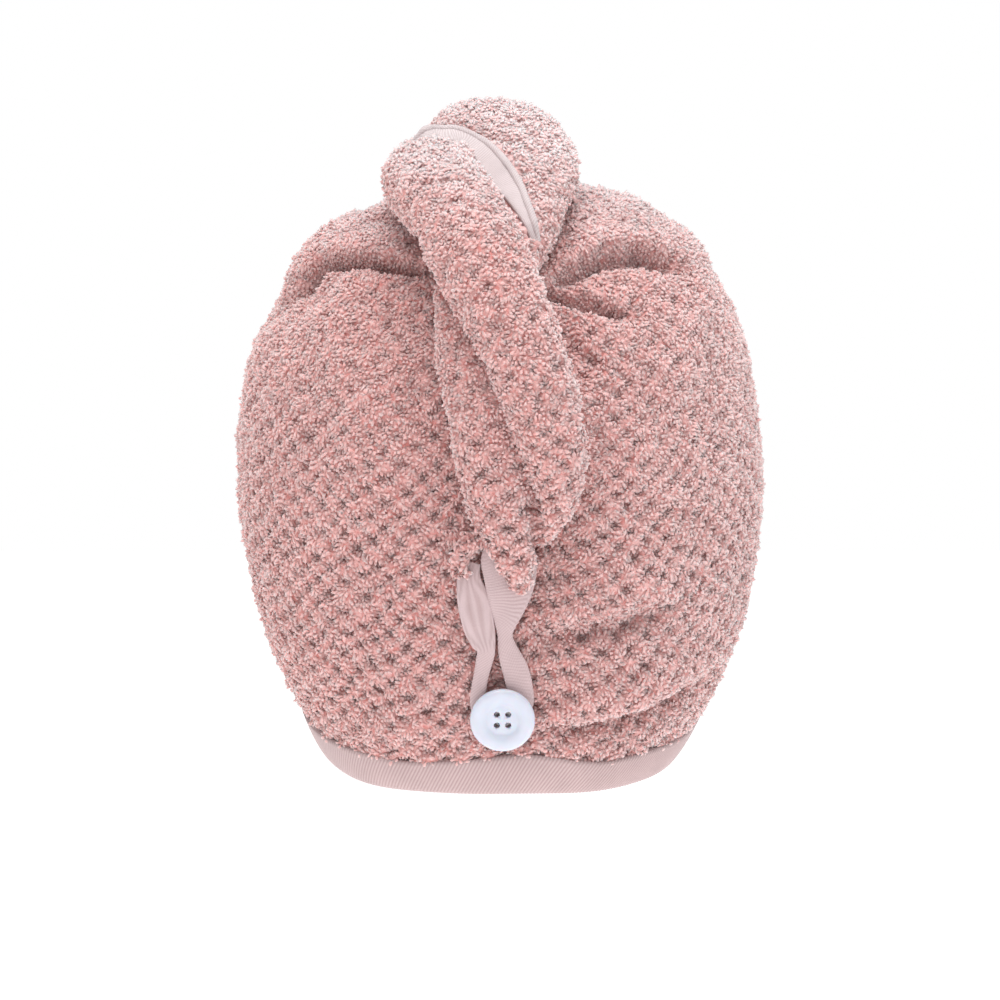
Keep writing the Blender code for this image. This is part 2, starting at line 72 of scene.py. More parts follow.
# height, left spread, right spread, then x as a share of half the width and z of crownRise
hoodFolds = (
    # left shoulder: lobe, the crease under it, the pocket above it, the lip's ridge
    (0.8, 1.5, 0.20, ((-1.05, 0.70), (-0.77, 0.785), (-0.64, 0.83), (-0.47, 0.82),
                      (-0.20, 0.79))),
    (-1.5, 0.18, 0.22, ((-0.84, 0.745), (-0.66, 0.822), (-0.47, 0.810), (-0.20, 0.785))),
    (-1.5, 0.30, 0.34, ((-0.55, 0.915), (-0.45, 0.93), (-0.28, 0.90))),
    (-1.0, 0.8, 0.8, ((-1.10, 0.68), (-0.84, 0.745), (-0.72, 0.755), (-0.56, 0.73))),
    (0.8, 2.2, 0.7, ((-0.72, 0.75), (-0.64, 0.70), (-0.57, 0.58), (-0.50, 0.42), (-0.45, 0.26))),
    # right shoulder: two ridges, the crease under them, the short crease by the tail
    (0.5, 1.0, 0.8, ((0.14, 1.00), (0.30, 0.99), (0.45, 0.94), (0.62, 0.88))),
    (0.9, 1.2, 0.30, ((0.16, 0.82), (0.36, 0.850), (0.50, 0.865), (0.66, 0.84), (0.80, 0.74))),
    (-1.1, 0.26, 0.34, ((0.16, 0.765), (0.26, 0.785), (0.38, 0.820), (0.56, 0.828), (0.74, 0.770))),
    (-1.1, 0.22, 0.26, ((0.08, 0.765), (0.21, 0.742), (0.34, 0.720), (0.56, 0.680))),
    (-0.8, 0.55, 0.80, ((0.18, 0.72), (0.24, 0.64), (0.36, 0.56))),
    (0.7, 0.7, 2.2, ((0.76, 0.80), (0.72, 0.70), (0.64, 0.50))),
    # rolls over the hem, with a crease under two of them
    (-0.55, 0.26, 0.26, ((0.08, 0.030), (0.24, 0.050), (0.40, 0.064), (0.66, 0.11))),
    (-0.55, 0.26, 0.26, ((0.10, -0.150), (0.34, -0.135), (0.52, -0.115), (0.84, -0.02))),
    (1.0, 1.0, 0.22, ((0.06, 0.075), (0.34, 0.10), (0.46, 0.12), (0.76, 0.16))),
    (0.5, 0.7, 0.22, ((0.24, 0.01), (0.42, 0.00), (0.60, 0.03))),
    (1.05, 0.9, 0.22, ((0.08, -0.11), (0.34, -0.10), (0.51, -0.08), (0.86, 0.02))),
    (0.6, 0.8, 0.22, ((-0.40, -0.10), (-0.22, -0.07), (-0.06, -0.06))),
    (0.6, 0.8, 0.22, ((-0.50, -0.15), (-0.28, -0.14), (-0.10, -0.125))),
)

# Pile: clumps of looped yarn over a quilted lattice of dimples.
pile = {
    "sink": 0.0023,           # how far the ground lies below the solids' face
    "latticePitch": 0.0082, "latticeSlant": 52, "dimpleDepth": 0.0030,
    "lumpSize": 0.016, "lumpHeight": 0.0007,
    "tuftLength": 0.0028, "tuftWidth": 0.00083,
    "backSpacing": 0.00132, "frontSpacing": 0.0018, "tailSpacing": 0.00136,
    "lean": 1.05, "mess": 0.62, "rise": 0.48, "swirl": 1.4,
    # noise: how fast and how far the lattice drifts, and the clumps higher up
    "driftScale": 60, "drift": 0.42, "clumpScale": 190, "clumpShare": 0.75,
    "fadeFrom": 0.05, "fadeOver": 0.07, "swirlScale": 160, "noiseSeed": 7,
}
noise.seed_set(pile["noiseSeed"])     # unseeded, noise_vector differs from run to run

# Tail: stations along two strands. Along runs from the brow's hem (-1) over the crown (0)
# to the nape's hem (1); side and halfWidth are shares of width, the others of depth.
tailForm = {
    "width": 0.046, "depth": 0.032, "steps": 200, "sides": 72, "power": 2.15,
    "voxel": 0.0015, "press": 0.0042, "grooveDepth": 0.0030, "grooveWidth": 0.0022,
    "bareBelow": -0.0026,     # no pile on cloth that is pressed in further than this
    "lumpShare": 1.3, "seatFade": 0.002,
}
rightStrand = np.array((
    (-0.46, 0.00, -0.45, 1.15, 0.30), (-0.37, 0.00, -0.18, 1.05, 0.40),
    (-0.28, 0.00, 0.10, 0.85, 0.46), (-0.17, -0.02, 0.34, 0.68, 0.58),
    (-0.06, -0.08, 0.46, 0.66, 0.66), (0.05, -0.06, 0.48, 0.64, 0.64),
    (0.13, 0.06, 0.44, 0.60, 0.58), (0.21, 0.18, 0.36, 0.54, 0.48),
    (0.31, 0.10, 0.28, 0.45, 0.42), (0.41, -0.17, 0.28, 0.43, 0.42),
    (0.50, -0.13, 0.36, 0.42, 0.44), (0.57, -0.05, 0.42, 0.40, 0.44),
    (0.63, 0.00, 0.42, 0.33, 0.40), (0.66, 0.06, 0.38, 0.28, 0.33),
    (0.69, 0.13, 0.33, 0.20, 0.26), (0.72, 0.20, 0.28, 0.08, 0.12),
))
leftStrand = np.array((
    (-0.34, -0.20, -0.30, 0.30, 0.25), (-0.24, -0.30, -0.05, 0.36, 0.36),
    (-0.12, -0.40, 0.05, 0.36, 0.40), (-0.01, -0.44, 0.12, 0.38, 0.42),
    (0.09, -0.44, 0.16, 0.40, 0.46), (0.17, -0.52, 0.34, 0.43, 0.47),
    (0.24, -0.62, 0.52, 0.46, 0.48), (0.30, -0.60, 0.71, 0.48, 0.49),
    (0.36, -0.37, 0.84, 0.45, 0.48), (0.42, -0.15, 0.92, 0.46, 0.47),
    (0.46, 0.02, 0.94, 0.42, 0.46), (0.50, 0.19, 0.93, 0.39, 0.45),
    (0.54, 0.33, 0.88, 0.37, 0.43), (0.58, 0.45, 0.78, 0.33, 0.40),
    (0.61, 0.50, 0.66, 0.27, 0.36), (0.635, 0.47, 0.50, 0.20, 0.28),
    (0.655, 0.28, 0.30, 0.20, 0.22), (0.665, -0.06, 0.24, 0.20, 0.22),
    (0.675, -0.32, 0.27, 0.13, 0.18), (0.705, -0.36, 0.26, 0.12, 0.16),
))


def spline(rows, t):
    span = len(rows) - 1
    at = np.clip(t, 0, 1) * span
    i = np.minimum(at.astype(int), span - 1)
    f = (at - i)[..., None]
    a, b, c, d = (rows[np.clip(i + k, 0, span)] for k in (-1, 0, 1, 2))
    return 0.5 * (2 * b + (c - a) * f + (2 * a - 5 * b + 4 * c - d) * f * f
                  + (3 * b - a - 3 * c + d) * f ** 3)


def smooth(x):
    x = np.clip(x, 0, 1)
    return x * x * (3 - 2 * x)


def unit(v):
    return v / np.maximum(np.linalg.norm(v, axis=-1, keepdims=True), 1e-12)


def hoodPoint(theta, level):
    s = hoodForm
    backRise, browRise, width, lean, back, front, square = np.moveaxis(
        spline(hoodRings, level), -1, 0)
    nape = -s["napeDrop"] + backRise * (s["crownRise"] + s["napeDrop"])
    brow = s["browRise"] + browRise * (s["crownRise"] - s["browRise"])
    z = nape + (brow - nape) * (0.5 - 0.5 * np.cos(theta)) ** 1.5
    half = np.maximum(s["width"] / 2 * width, 1e-5)
    reach = np.where(np.cos(theta) > 0, s["back"] * back, s["front"] * front)
    reach = np.maximum(reach, 1e-5)
    radius = (np.abs(np.sin(theta) / half) ** square
              + np.abs(np.cos(theta) / reach) ** square) ** (-1 / square)
    x = radius * np.sin(theta) + s["width"] / 2 * lean
    return np.stack([x, -radius * np.cos(theta), z], -1)


def hoodNormal(theta, level):
    step = 0.01
    roundIt = hoodPoint(theta + step, level) - hoodPoint(theta - step, level)
    up = hoodPoint(theta, level + step) - hoodPoint(theta, level - step)
    return unit(np.cross(roundIt, up))


def fromLine(line, x, z):
    # signed distance from a polyline, left side positive, and where along it
    line = np.array(line) * (hoodForm["width"] / 2, hoodForm["crownRise"])
    bestOff, bestAlong = np.full(x.shape, 1.0), np.zeros(x.shape)
    for i in range(len(line) - 1):
        a, run = line[i], line[i + 1] - line[i]
        t = np.clip(((x - a[0]) * run[0] + (z - a[1]) * run[1]) / (run @ run), 0, 1)
        offX, offZ = x - a[0] - run[0] * t, z - a[1] - run[1] * t
        off = np.hypot(offX, offZ)
        side = np.where(run[0] * offZ - run[1] * offX >= 0, 1.0, -1.0)
        nearer = off < np.abs(bestOff)
        bestOff = np.where(nearer, side * off, bestOff)
        bestAlong = np.where(nearer, (i + t) / (len(line) - 1), bestAlong)
    return bestOff, bestAlong


def foldPush(x, z):
    push, crease = np.zeros(x.shape), np.zeros(x.shape)
    for height, leftSpread, rightSpread, line in hoodFolds:
        off, along = fromLine(line, x, z)
        spread = np.where(off > 0, leftSpread, rightSpread) * hoodForm["foldSpread"]
        fade = smooth(np.minimum(along, 1 - along) / 0.25)
        share = height * fade * np.exp(-(off / spread) ** 2)
        push += share
        if leftSpread < hoodForm["creaseSpread"]:
            crease = np.maximum(crease, -share)
    return push * hoodForm["foldHeight"], np.minimum(crease, 1.0)


def gatherPush(x, z):
    # gathers that run up the front into the root of the tail
    s = hoodForm
    down = s["crownRise"] - z
    turn = np.arctan2(x, np.maximum(down, 1e-4))
    reach = np.hypot(x, down) / (s["crownRise"] - s["browRise"])
    fade = smooth(reach / 0.35) * smooth((1.25 - reach) / 0.6)
    return s["gatherHeight"] * fade * np.cos(turn * s["gatherCount"])


def hoodFace(theta, level, standOff=0.0):
    p = hoodPoint(theta, level)
    facing = np.cos(theta)
    push = np.where(facing > -0.2, foldPush(p[..., 0], p[..., 2])[0] * smooth(facing * 3 + 0.6),
                    gatherPush(p[..., 0], p[..., 2]) * smooth(-facing * 2 - 0.4))
    return p + hoodNormal(theta, level) * (push + standOff)[..., None]


def levelAt(theta, height):
    # level at which the cloth is this height above its lower edge
    low, high = np.zeros(theta.shape), np.full(theta.shape, 0.5)
    edge = hoodPoint(theta, low)[..., 2]
    for _ in range(24):
        middle = (low + high) / 2
        below = hoodPoint(theta, middle)[..., 2] - edge < height
        low, high = np.where(below, middle, low), np.where(below, high, middle)
    return low


def columnAngles(count, bias):
    t = np.arange(count) / count
    return math.tau * t - bias * np.sin(math.tau * t)


def gridFaces(rows, columns, wrap=True, first=0, flip=False):
    i, k = np.meshgrid(np.arange(columns if wrap else columns - 1), np.arange(rows - 1))
    j = (i + 1) % columns
    quads = first + np.stack([k * columns + i, k * columns + j,
                              (k + 1) * columns + j, (k + 1) * columns + i], -1)
    quads = quads.reshape(-1, 4)
    return quads[:, ::-1] if flip else quads


def placed(name, data):
    made = bpy.data.objects.new(name, data)
    scene.collection.objects.link(made)
    return made


def addMesh(name, verts, faces, material=None):
    mesh = bpy.data.meshes.new(name)
    mesh.from_pydata(np.asarray(verts).reshape(-1, 3).tolist(), [],
                     [list(map(int, f)) for f in faces])
    mesh.shade_smooth()
    if material:
        mesh.materials.append(material)
    return placed(name, mesh)


def giveAttributes(mesh, **fields):
    # a field with three numbers for each vertex is stored as a vector
    for name, values in fields.items():
        flat = np.ascontiguousarray(values, np.float32).ravel()
        isVector = len(flat) == 3 * len(mesh.vertices)
        layer = mesh.attributes.new(name, "FLOAT_VECTOR" if isVector else "FLOAT", "POINT")
        layer.data.foreach_set("vector" if isVector else "value", flat)


def vertexArrays(mesh):
    count = len(mesh.vertices)
    places, normals = np.zeros(count * 3), np.zeros(count * 3)
    mesh.vertices.foreach_get("co", places)
    mesh.vertices.foreach_get("normal", normals)
    return places.reshape(-1, 3), normals.reshape(-1, 3)


def finished(obj, name=None):
    # the evaluated shape as a plain mesh, with no modifier left
    label = name or obj.name
    graph = bpy.context.evaluated_depsgraph_get()
    mesh = bpy.data.meshes.new_from_object(obj.evaluated_get(graph))
    bpy.data.objects.remove(obj, do_unlink=True)
    return placed(label, mesh)


def node(tree, kind, inputs=None, **settings):
    made = tree.nodes.new(kind)
    for name, value in settings.items():
        setattr(made, name, value)
    for key, value in (inputs or {}).items():
        if isinstance(value, bpy.types.NodeSocket):
            tree.links.new(value, made.inputs[key])
        else:
            made.inputs[key].default_value = value
    return made


def math2(tree, operation, a, b=0.0, c=0.0):
    made = node(tree, "ShaderNodeMath", {0: a, 1: b, 2: c}, operation=operation)
    return made.outputs[0]


def vector2(tree, operation, a, b=(0.0, 0.0, 0.0), scale=1.0):
    inputs = {0: a, "Scale": scale} if operation == "SCALE" else {0: a, 1: b}
    return node(tree, "ShaderNodeVectorMath", inputs, operation=operation).outputs[0]


def newTree(name, kind, inputs, outputs):
    tree = bpy.data.node_groups.new(name, kind)
    for label, socket, value in inputs:
        made = tree.interface.new_socket(name=label, in_out="INPUT", socket_type=socket)
        if value is not None:
            made.default_value = value
    for label, socket in outputs:
        tree.interface.new_socket(name=label, in_out="OUTPUT", socket_type=socket)
    return tree, node(tree, "NodeGroupInput").outputs, node(tree, "NodeGroupOutput").inputs


def useTree(obj, tree, values):
    modifier = obj.modifiers.new(tree.name, "NODES")
    modifier.node_group = tree
    for item in tree.interface.items_tree:
        if item.item_type == "SOCKET" and item.in_out == "INPUT" and item.name in values:
            modifier[item.identifier] = values[item.name]
    return modifier


pileColours = {
    # the root colour is painted shade: darker and redder down between the tufts
    "root": (0.66, 0.31, 0.285), "middle": (0.735, 0.43, 0.41), "tip": (0.735, 0.485, 0.475),
    # painted light: a pale colour mixed in where the plush faces up high on the crown, or faces
    # right
    "paintedLight": (0.80, 0.67, 0.675), "paintedLightUp": 1.05, "paintedLightRight": 0.35,
    "paintedLightFrom": 0.162, "paintedLightTo": 0.205, "groundPaintedLight": 0.5,
    "sheen": 1.0, "mottleScale": 38.0, "fuzzScale": 1300.0,
    # brightness: its base, then the shares of each tuft, the fuzz and the mottle
    "base": 0.785, "tuftShare": 0.10, "fuzzShare": 0.35, "mottleShare": 0.22,
    "skinShare": 0.34,        # how far the cloth's own facing softens the light
}
groundColours = {
    # the crevice colour is painted shade in the crinkles' low spots
    "creviceShade": (0.58, 0.22, 0.20), "ground": (0.73, 0.41, 0.39),
    "innerLow": (0.40, 0.21, 0.195), "innerHigh": (0.66, 0.42, 0.40),
    "crinkleScale": 430.0, "fuzzScale": 700.0,
}
# rib and groove of each tape; the darker groove colour is painted shade between the ribs
tapeColours = {
    "hem": ((0.515, 0.39, 0.39), (0.385, 0.26, 0.257)),
    "crown": ((0.60, 0.53, 0.535), (0.47, 0.38, 0.38)),
    "loop": ((0.545, 0.418, 0.428), (0.44, 0.32, 0.32)),
    "mottleScale": 90.0, "fuzzScale": 1600.0,
}
smallColours = {
    "buttonLow": (0.53, 0.555, 0.64), "buttonHigh": (0.56, 0.585, 0.67), "buttonScale": 160.0,
    "threadLow": (0.62, 0.56, 0.56), "threadHigh": (0.84, 0.80, 0.80), "threadScale": 2200.0,
}


def noiseGroup(name, output, scale, detail, roughness):
    tree, given, out = newTree(name, "ShaderNodeTree", [
        ("Scale", "NodeSocketFloat", scale), ("Detail", "NodeSocketFloat", detail)],
        [(output, "NodeSocketFloat")])
    cloud = node(tree, "ShaderNodeTexNoise", {
        "Vector": node(tree, "ShaderNodeTexCoord").outputs["Object"],
        "Scale": given["Scale"], "Detail": given["Detail"], "Roughness": roughness})
    tree.links.new(cloud.outputs["Fac"], out[output])
    return tree


# slow change of tone over cloth and tape, and fine fuzz for tone and bump
clothMottle = noiseGroup("clothMottle", "Tone", 38.0, 2.0, 0.55)
fibreFuzz = noiseGroup("fibreFuzz", "Height", 900.0, 3.0, 0.7)


def grouped(tree, group, scale, **more):
    return node(tree, "ShaderNodeGroup", {"Scale": scale, **more}, node_tree=group).outputs[0]


def attributeOf(tree, name, output="Fac"):
    return node(tree, "ShaderNodeAttribute", attribute_name=name).outputs[output]


def bumped(tree, height, distance, strength):
    return node(tree, "ShaderNodeBump", {
        "Height": height, "Distance": distance, "Strength": strength}).outputs["Normal"]


def mixed(tree, factor, first, second):
    return node(tree, "ShaderNodeMix", {0: factor, 6: first, 7: second},
                data_type="RGBA").outputs[2]


def feed(tree, shader, colour, normal=None):
    tree.links.new(colour, shader.inputs["Base Color"])
    if normal is not None:
        tree.links.new(normal, shader.inputs["Normal"])


def startMaterial(name, roughness, **sockets):
    made = bpy.data.materials.new(name)
    made.use_nodes = True
    shader = made.node_tree.nodes["Principled BSDF"]
    shader.inputs["Roughness"].default_value = roughness
    for key, value in sockets.items():
        shader.inputs[key.replace("_", " ")].default_value = value
    return made, made.node_tree, shader


def colourRamp(tree, factor, stops):
    ramp = node(tree, "ShaderNodeValToRGB", {"Fac": factor})
    elements = ramp.color_ramp.elements
    while len(elements) < len(stops):
        elements.new(0.5)
    for element, (at, colour) in zip(elements, stops):
        element.position = at
        element.color = (*colour, 1.0)
    return ramp.outputs["Color"]


def scaledColour(tree, colour, factor):
    return vector2(tree, "SCALE", colour, scale=factor)


def addPaintedLight(tree, colour, out, share):
    # painted light: the plush is paler where it faces up, high on the tail, or to the right,
    # standing in for the top light and the sheen at its edges
    place = node(tree, "ShaderNodeTexCoord").outputs["Object"]
    height = node(tree, "ShaderNodeMapRange", {
        "Value": node(tree, "ShaderNodeSeparateXYZ", {0: place}).outputs["Z"],
        "From Min": pileColours["paintedLightFrom"], "From Max": pileColours["paintedLightTo"]}).outputs[0]
    facing = node(tree, "ShaderNodeSeparateXYZ", {0: out}).outputs
    paintedLight = math2(tree, "MULTIPLY", math2(tree, "MAXIMUM", facing["Z"], 0.0),
                 math2(tree, "MULTIPLY", height, pileColours["paintedLightUp"]))
    paintedLight = math2(tree, "MULTIPLY_ADD", math2(tree, "MAXIMUM", facing["X"], 0.0),
                 pileColours["paintedLightRight"], paintedLight)
    return mixed(tree, math2(tree, "MULTIPLY", paintedLight, share), colour,
                 (*pileColours["paintedLight"], 1.0))


def pileMaterial():
    c = pileColours
    made, tree, shader = startMaterial(
        "plushPile", 0.95, Sheen_Weight=c["sheen"], Sheen_Roughness=0.5,
        Sheen_Tint=(1.0, 0.92, 0.92, 1.0), Specular_IOR_Level=0.05,
        Subsurface_Weight=0.5, Subsurface_Scale=0.0014, Subsurface_Radius=(1.0, 0.5, 0.45))
    tip, shade, puff = (attributeOf(tree, name) for name in ("tip", "shade", "puff"))
    tone = grouped(tree, clothMottle, c["mottleScale"])
    # painted shade: each tuft darker towards its root
    colour = colourRamp(tree, tip, ((0.0, c["root"]), (0.45, c["middle"]), (1.0, c["tip"])))
    skin = attributeOf(tree, "skin", "Vector")
    # painted light: paler where the plush faces up or right
    colour = addPaintedLight(tree, colour, skin, math2(tree, "MULTIPLY_ADD", tip, 0.3, 0.7))
    fine = grouped(tree, fibreFuzz, c["fuzzScale"])
    lift = math2(tree, "MULTIPLY_ADD", shade, c["tuftShare"], c["base"])
    lift = math2(tree, "MULTIPLY_ADD", math2(tree, "SUBTRACT", fine, 0.5), c["fuzzShare"], lift)
    lift = math2(tree, "MULTIPLY_ADD", tone, c["mottleShare"], lift)
    # painted shade: darker where the puff value is low, in the dimples and creases
    lift = math2(tree, "MULTIPLY", lift, math2(tree, "MULTIPLY_ADD", puff, 0.50, 0.56))
    soft = vector2(tree, "ADD",
                   vector2(tree, "SCALE", bumped(tree, fine, 0.0006, 0.5),
                           scale=1 - c["skinShare"]),
                   vector2(tree, "SCALE", skin, scale=c["skinShare"]))
    feed(tree, shader, scaledColour(tree, colour, lift), vector2(tree, "NORMALIZE", soft))
    return made


def groundMaterial():
    c = groundColours
    made, tree, shader = startMaterial(
        "plushGround", 0.97, Sheen_Weight=0.25, Sheen_Roughness=0.5,
        Specular_IOR_Level=0.1)
    crinkle = grouped(tree, clothMottle, c["crinkleScale"], Detail=4.0)
    fine = grouped(tree, fibreFuzz, c["fuzzScale"])
    inside, puff = attributeOf(tree, "inside"), attributeOf(tree, "puff")
    # painted shade: darker where the crinkle bump is low
    outer = colourRamp(tree, crinkle, ((0.36, c["creviceShade"]), (0.56, c["ground"])))
    inner = colourRamp(tree, fine, ((0.35, c["innerLow"]), (0.65, c["innerHigh"])))
    # painted shade: darker where the puff value is low, in the dimples and creases
    outer = scaledColour(tree, outer, math2(tree, "MULTIPLY_ADD", puff, 0.50, 0.52))
    # painted light on the ground cloth too: paler where it faces up or right
    outer = addPaintedLight(tree, outer, node(tree, "ShaderNodeNewGeometry").outputs["Normal"],
                  pileColours["groundPaintedLight"])
    height = math2(tree, "MULTIPLY_ADD", fine, 0.4, crinkle)
    feed(tree, shader, mixed(tree, inside, outer, inner), bumped(tree, height, 0.0015, 0.9))
    return made


def tapeMaterial(name):
    ribColour, grooveShade = tapeColours[name]
    made, tree, shader = startMaterial(
        name + "Twill", 0.85, Sheen_Weight=0.25, Sheen_Roughness=0.5, Specular_IOR_Level=0.2)
    tone = grouped(tree, clothMottle, tapeColours["mottleScale"])
    fine = grouped(tree, fibreFuzz, tapeColours["fuzzScale"])
    # painted shade: darker in the grooves between the ribs
    colour = colourRamp(tree, attributeOf(tree, "rib"), ((0.0, grooveShade), (0.8, ribColour)))
    lift = math2(tree, "MULTIPLY_ADD", tone, 0.20, 0.90)
    lift = math2(tree, "MULTIPLY_ADD", fine, 0.16, math2(tree, "SUBTRACT", lift, 0.08))
    feed(tree, shader, scaledColour(tree, colour, lift), bumped(tree, fine, 0.0003, 0.6))
    return made


def buttonMaterial():
    c = smallColours
    made, tree, shader = startMaterial(
        "buttonGloss", 0.18, Coat_Weight=0.3, Coat_Roughness=0.08,
        Subsurface_Weight=0.35, Subsurface_Scale=0.003)
    tone = grouped(tree, clothMottle, c["buttonScale"])
    feed(tree, shader, colourRamp(tree, tone, ((0.3, c["buttonLow"]), (0.7, c["buttonHigh"]))))
    rough = math2(tree, "MULTIPLY_ADD", tone, 0.10, 0.14)
    tree.links.new(rough, shader.inputs["Roughness"])
    return made


def threadMaterial():
    c = smallColours
    made, tree, shader = startMaterial("sewingThread", 0.7, Sheen_Weight=0.2)
    fine = grouped(tree, fibreFuzz, c["threadScale"])
    feed(tree, shader, colourRamp(tree, fine, ((0.3, c["threadLow"]), (0.7, c["threadHigh"]))))
    return made


plushPile, plushGround = pileMaterial(), groundMaterial()
hemTwill, crownTwill, loopTwill = (tapeMaterial(name) for name in ("hem", "crown", "loop"))
buttonGloss, sewingThread = buttonMaterial(), threadMaterial()
print("finishes ready")


def tuftTree():
    tree, given, out = newTree("pileTufts", "GeometryNodeTree", [
        ("Geometry", "NodeSocketGeometry", None), ("Tuft", "NodeSocketObject", None),
        ("Material", "NodeSocketMaterial", None), ("Sector", "NodeSocketFloat", 0.0),
        ("Spacing", "NodeSocketFloat", 0.0013), ("Length", "NodeSocketFloat", 0.003),
        ("Width", "NodeSocketFloat", 0.0006), ("Lean", "NodeSocketFloat", 1.0),
        ("Rise", "NodeSocketFloat", 0.5),
        ("Mess", "NodeSocketFloat", 0.6), ("Seed", "NodeSocketInt", 1)],
        [("Geometry", "NodeSocketGeometry")])

    def attribute(name, kind="FLOAT"):
        return node(tree, "GeometryNodeInputNamedAttribute", {"Name": name},
                    data_type=kind).outputs["Attribute"]

    def between(low, high, seed):
        return node(tree, "FunctionNodeRandomValue", {2: low, 3: high, "Seed": seed}).outputs[1]

    here = math2(tree, "COMPARE", attribute("sector"), given["Sector"], 0.5)
    spread = node(tree, "GeometryNodeDistributePointsOnFaces", {
        "Mesh": given["Geometry"], "Distance Min": given["Spacing"],
        "Density Max": 2.4e6, "Seed": given["Seed"],
        "Density Factor": math2(tree, "MULTIPLY", here, attribute("cover"))},
        distribute_method="POISSON")
    messy = node(tree, "FunctionNodeRandomValue", {
        0: (-1.0, -1.0, -1.0), 1: (1.0, 1.0, 1.0), "Seed": 3}, data_type="FLOAT_VECTOR")
    combed = vector2(tree, "SCALE", attribute("comb", "FLOAT_VECTOR"), scale=given["Lean"])
    messed = vector2(tree, "SCALE", messy.outputs[0], scale=given["Mess"])
    risen = vector2(tree, "SCALE", spread.outputs["Normal"], scale=given["Rise"])
    way = vector2(tree, "ADD", vector2(tree, "ADD", risen, combed), messed)
    # none may point into the cloth
    inward = math2(tree, "MINIMUM", node(tree, "ShaderNodeVectorMath", {
        0: way, 1: spread.outputs["Normal"]}, operation="DOT_PRODUCT").outputs["Value"], 0.2)
    lifted = vector2(tree, "SCALE", spread.outputs["Normal"],
                     scale=math2(tree, "SUBTRACT", 0.2, inward))
    way = vector2(tree, "ADD", way, lifted)
    twist = node(tree, "ShaderNodeCombineXYZ", {"Z": between(0.0, math.tau, 5)}).outputs[0]
    turned = node(tree, "FunctionNodeAlignRotationToVector", {
        "Rotation": node(tree, "FunctionNodeEulerToRotation", {0: twist}).outputs[0],
        "Vector": vector2(tree, "NORMALIZE", way)}, axis="Z")
    high = math2(tree, "MULTIPLY_ADD", attribute("puff"), 0.55, 0.47)
    size = math2(tree, "MULTIPLY", between(0.75, 1.3, 7), high)
    length = math2(tree, "MULTIPLY", size, given["Length"])
    width = math2(tree, "MULTIPLY", between(0.8, 1.25, 11), given["Width"])
    grown = node(tree, "GeometryNodeInstanceOnPoints", {
        "Points": spread.outputs["Points"],
        "Instance": node(tree, "GeometryNodeObjectInfo", {"Object": given["Tuft"]}
                         ).outputs["Geometry"],
        "Rotation": turned.outputs[0],
        "Scale": node(tree, "ShaderNodeCombineXYZ", {"X": width, "Y": width, "Z": length}
                      ).outputs[0]})
    shaded = node(tree, "GeometryNodeStoreNamedAttribute", {
        "Geometry": grown.outputs[0], "Name": "shade", "Value": between(0.0, 1.0, 13)},
        data_type="FLOAT", domain="INSTANCE")
    # the cloth's own facing, which softens the light over the tufts
    shaded = node(tree, "GeometryNodeStoreNamedAttribute", {
        "Geometry": shaded.outputs[0], "Name": "skin", "Value": spread.outputs["Normal"]},
        data_type="FLOAT_VECTOR", domain="INSTANCE")
    real = node(tree, "GeometryNodeRealizeInstances", {0: shaded.outputs[0]})
    done = node(tree, "GeometryNodeSetMaterial", {
        "Geometry": real.outputs[0], "Material": given["Material"]})
    tree.links.new(done.outputs[0], out["Geometry"])
    return tree


def ribTree():
    # twill ribs: pushes a tape out along its own weave lines
    tree, given, out = newTree("twillRibs", "GeometryNodeTree", [
        ("Geometry", "NodeSocketGeometry", None), ("Pitch", "NodeSocketFloat", 0.0014),
        ("Height", "NodeSocketFloat", 0.0002), ("Slant", "NodeSocketFloat", 0.0),
        ("Material", "NodeSocketMaterial", None)],
        [("Geometry", "NodeSocketGeometry")])
    weave = node(tree, "GeometryNodeInputNamedAttribute", {"Name": "weave"},
                 data_type="FLOAT_VECTOR").outputs["Attribute"]
    parts = node(tree, "ShaderNodeSeparateXYZ", {0: weave}).outputs
    line = math2(tree, "MULTIPLY_ADD", parts[1], given["Slant"], parts[0])
    turn = math2(tree, "MULTIPLY", math2(tree, "DIVIDE", line, given["Pitch"]), math.tau)
    wave = math2(tree, "MULTIPLY_ADD", math2(tree, "COSINE", turn), 0.5, 0.5)
    rise = math2(tree, "MULTIPLY", math2(tree, "MULTIPLY", wave, parts[2]), given["Height"])
    push = vector2(tree, "SCALE", node(tree, "GeometryNodeInputNormal").outputs[0], scale=rise)
    moved = node(tree, "GeometryNodeSetPosition", {
        "Geometry": given["Geometry"], "Offset": push})
    kept = node(tree, "GeometryNodeStoreNamedAttribute", {
        "Geometry": moved.outputs[0], "Name": "rib", "Value": wave},
        data_type="FLOAT", domain="POINT")
    real = node(tree, "GeometryNodeRealizeInstances", {0: kept.outputs[0]})
    done = node(tree, "GeometryNodeSetMaterial", {
        "Geometry": real.outputs[0], "Material": given["Material"]})
    tree.links.new(done.outputs[0], out["Geometry"])
    return tree


def makeTuft():
    # three sides, a swollen middle and a blunt tip: ten triangles
    rings = ((0.0, 0.66, 0.0), (0.74, 1.0, 0.28), (1.0, 0.0, 0.50))
    verts, tips = [], []
    for up, radius, bend in rings[:2]:
        for s in range(3):
            a = math.tau * s / 3
            verts.append((radius * math.cos(a) + bend, radius * math.sin(a), up - 0.28))
            tips.append(up)
    verts.append((rings[2][2], 0.0, 0.72))
    tips.append(1.0)
    faces = [(2, 1, 0)]
    for s in range(3):
        n = (s + 1) % 3
        faces += [(s, n, n + 3), (s, n + 3, s + 3), (s + 3, n + 3, 6)]
    tuft = addMesh("tuft", verts, faces)
    giveAttributes(tuft.data, tip=tips)
    tuft.hide_render = True
    return tuft


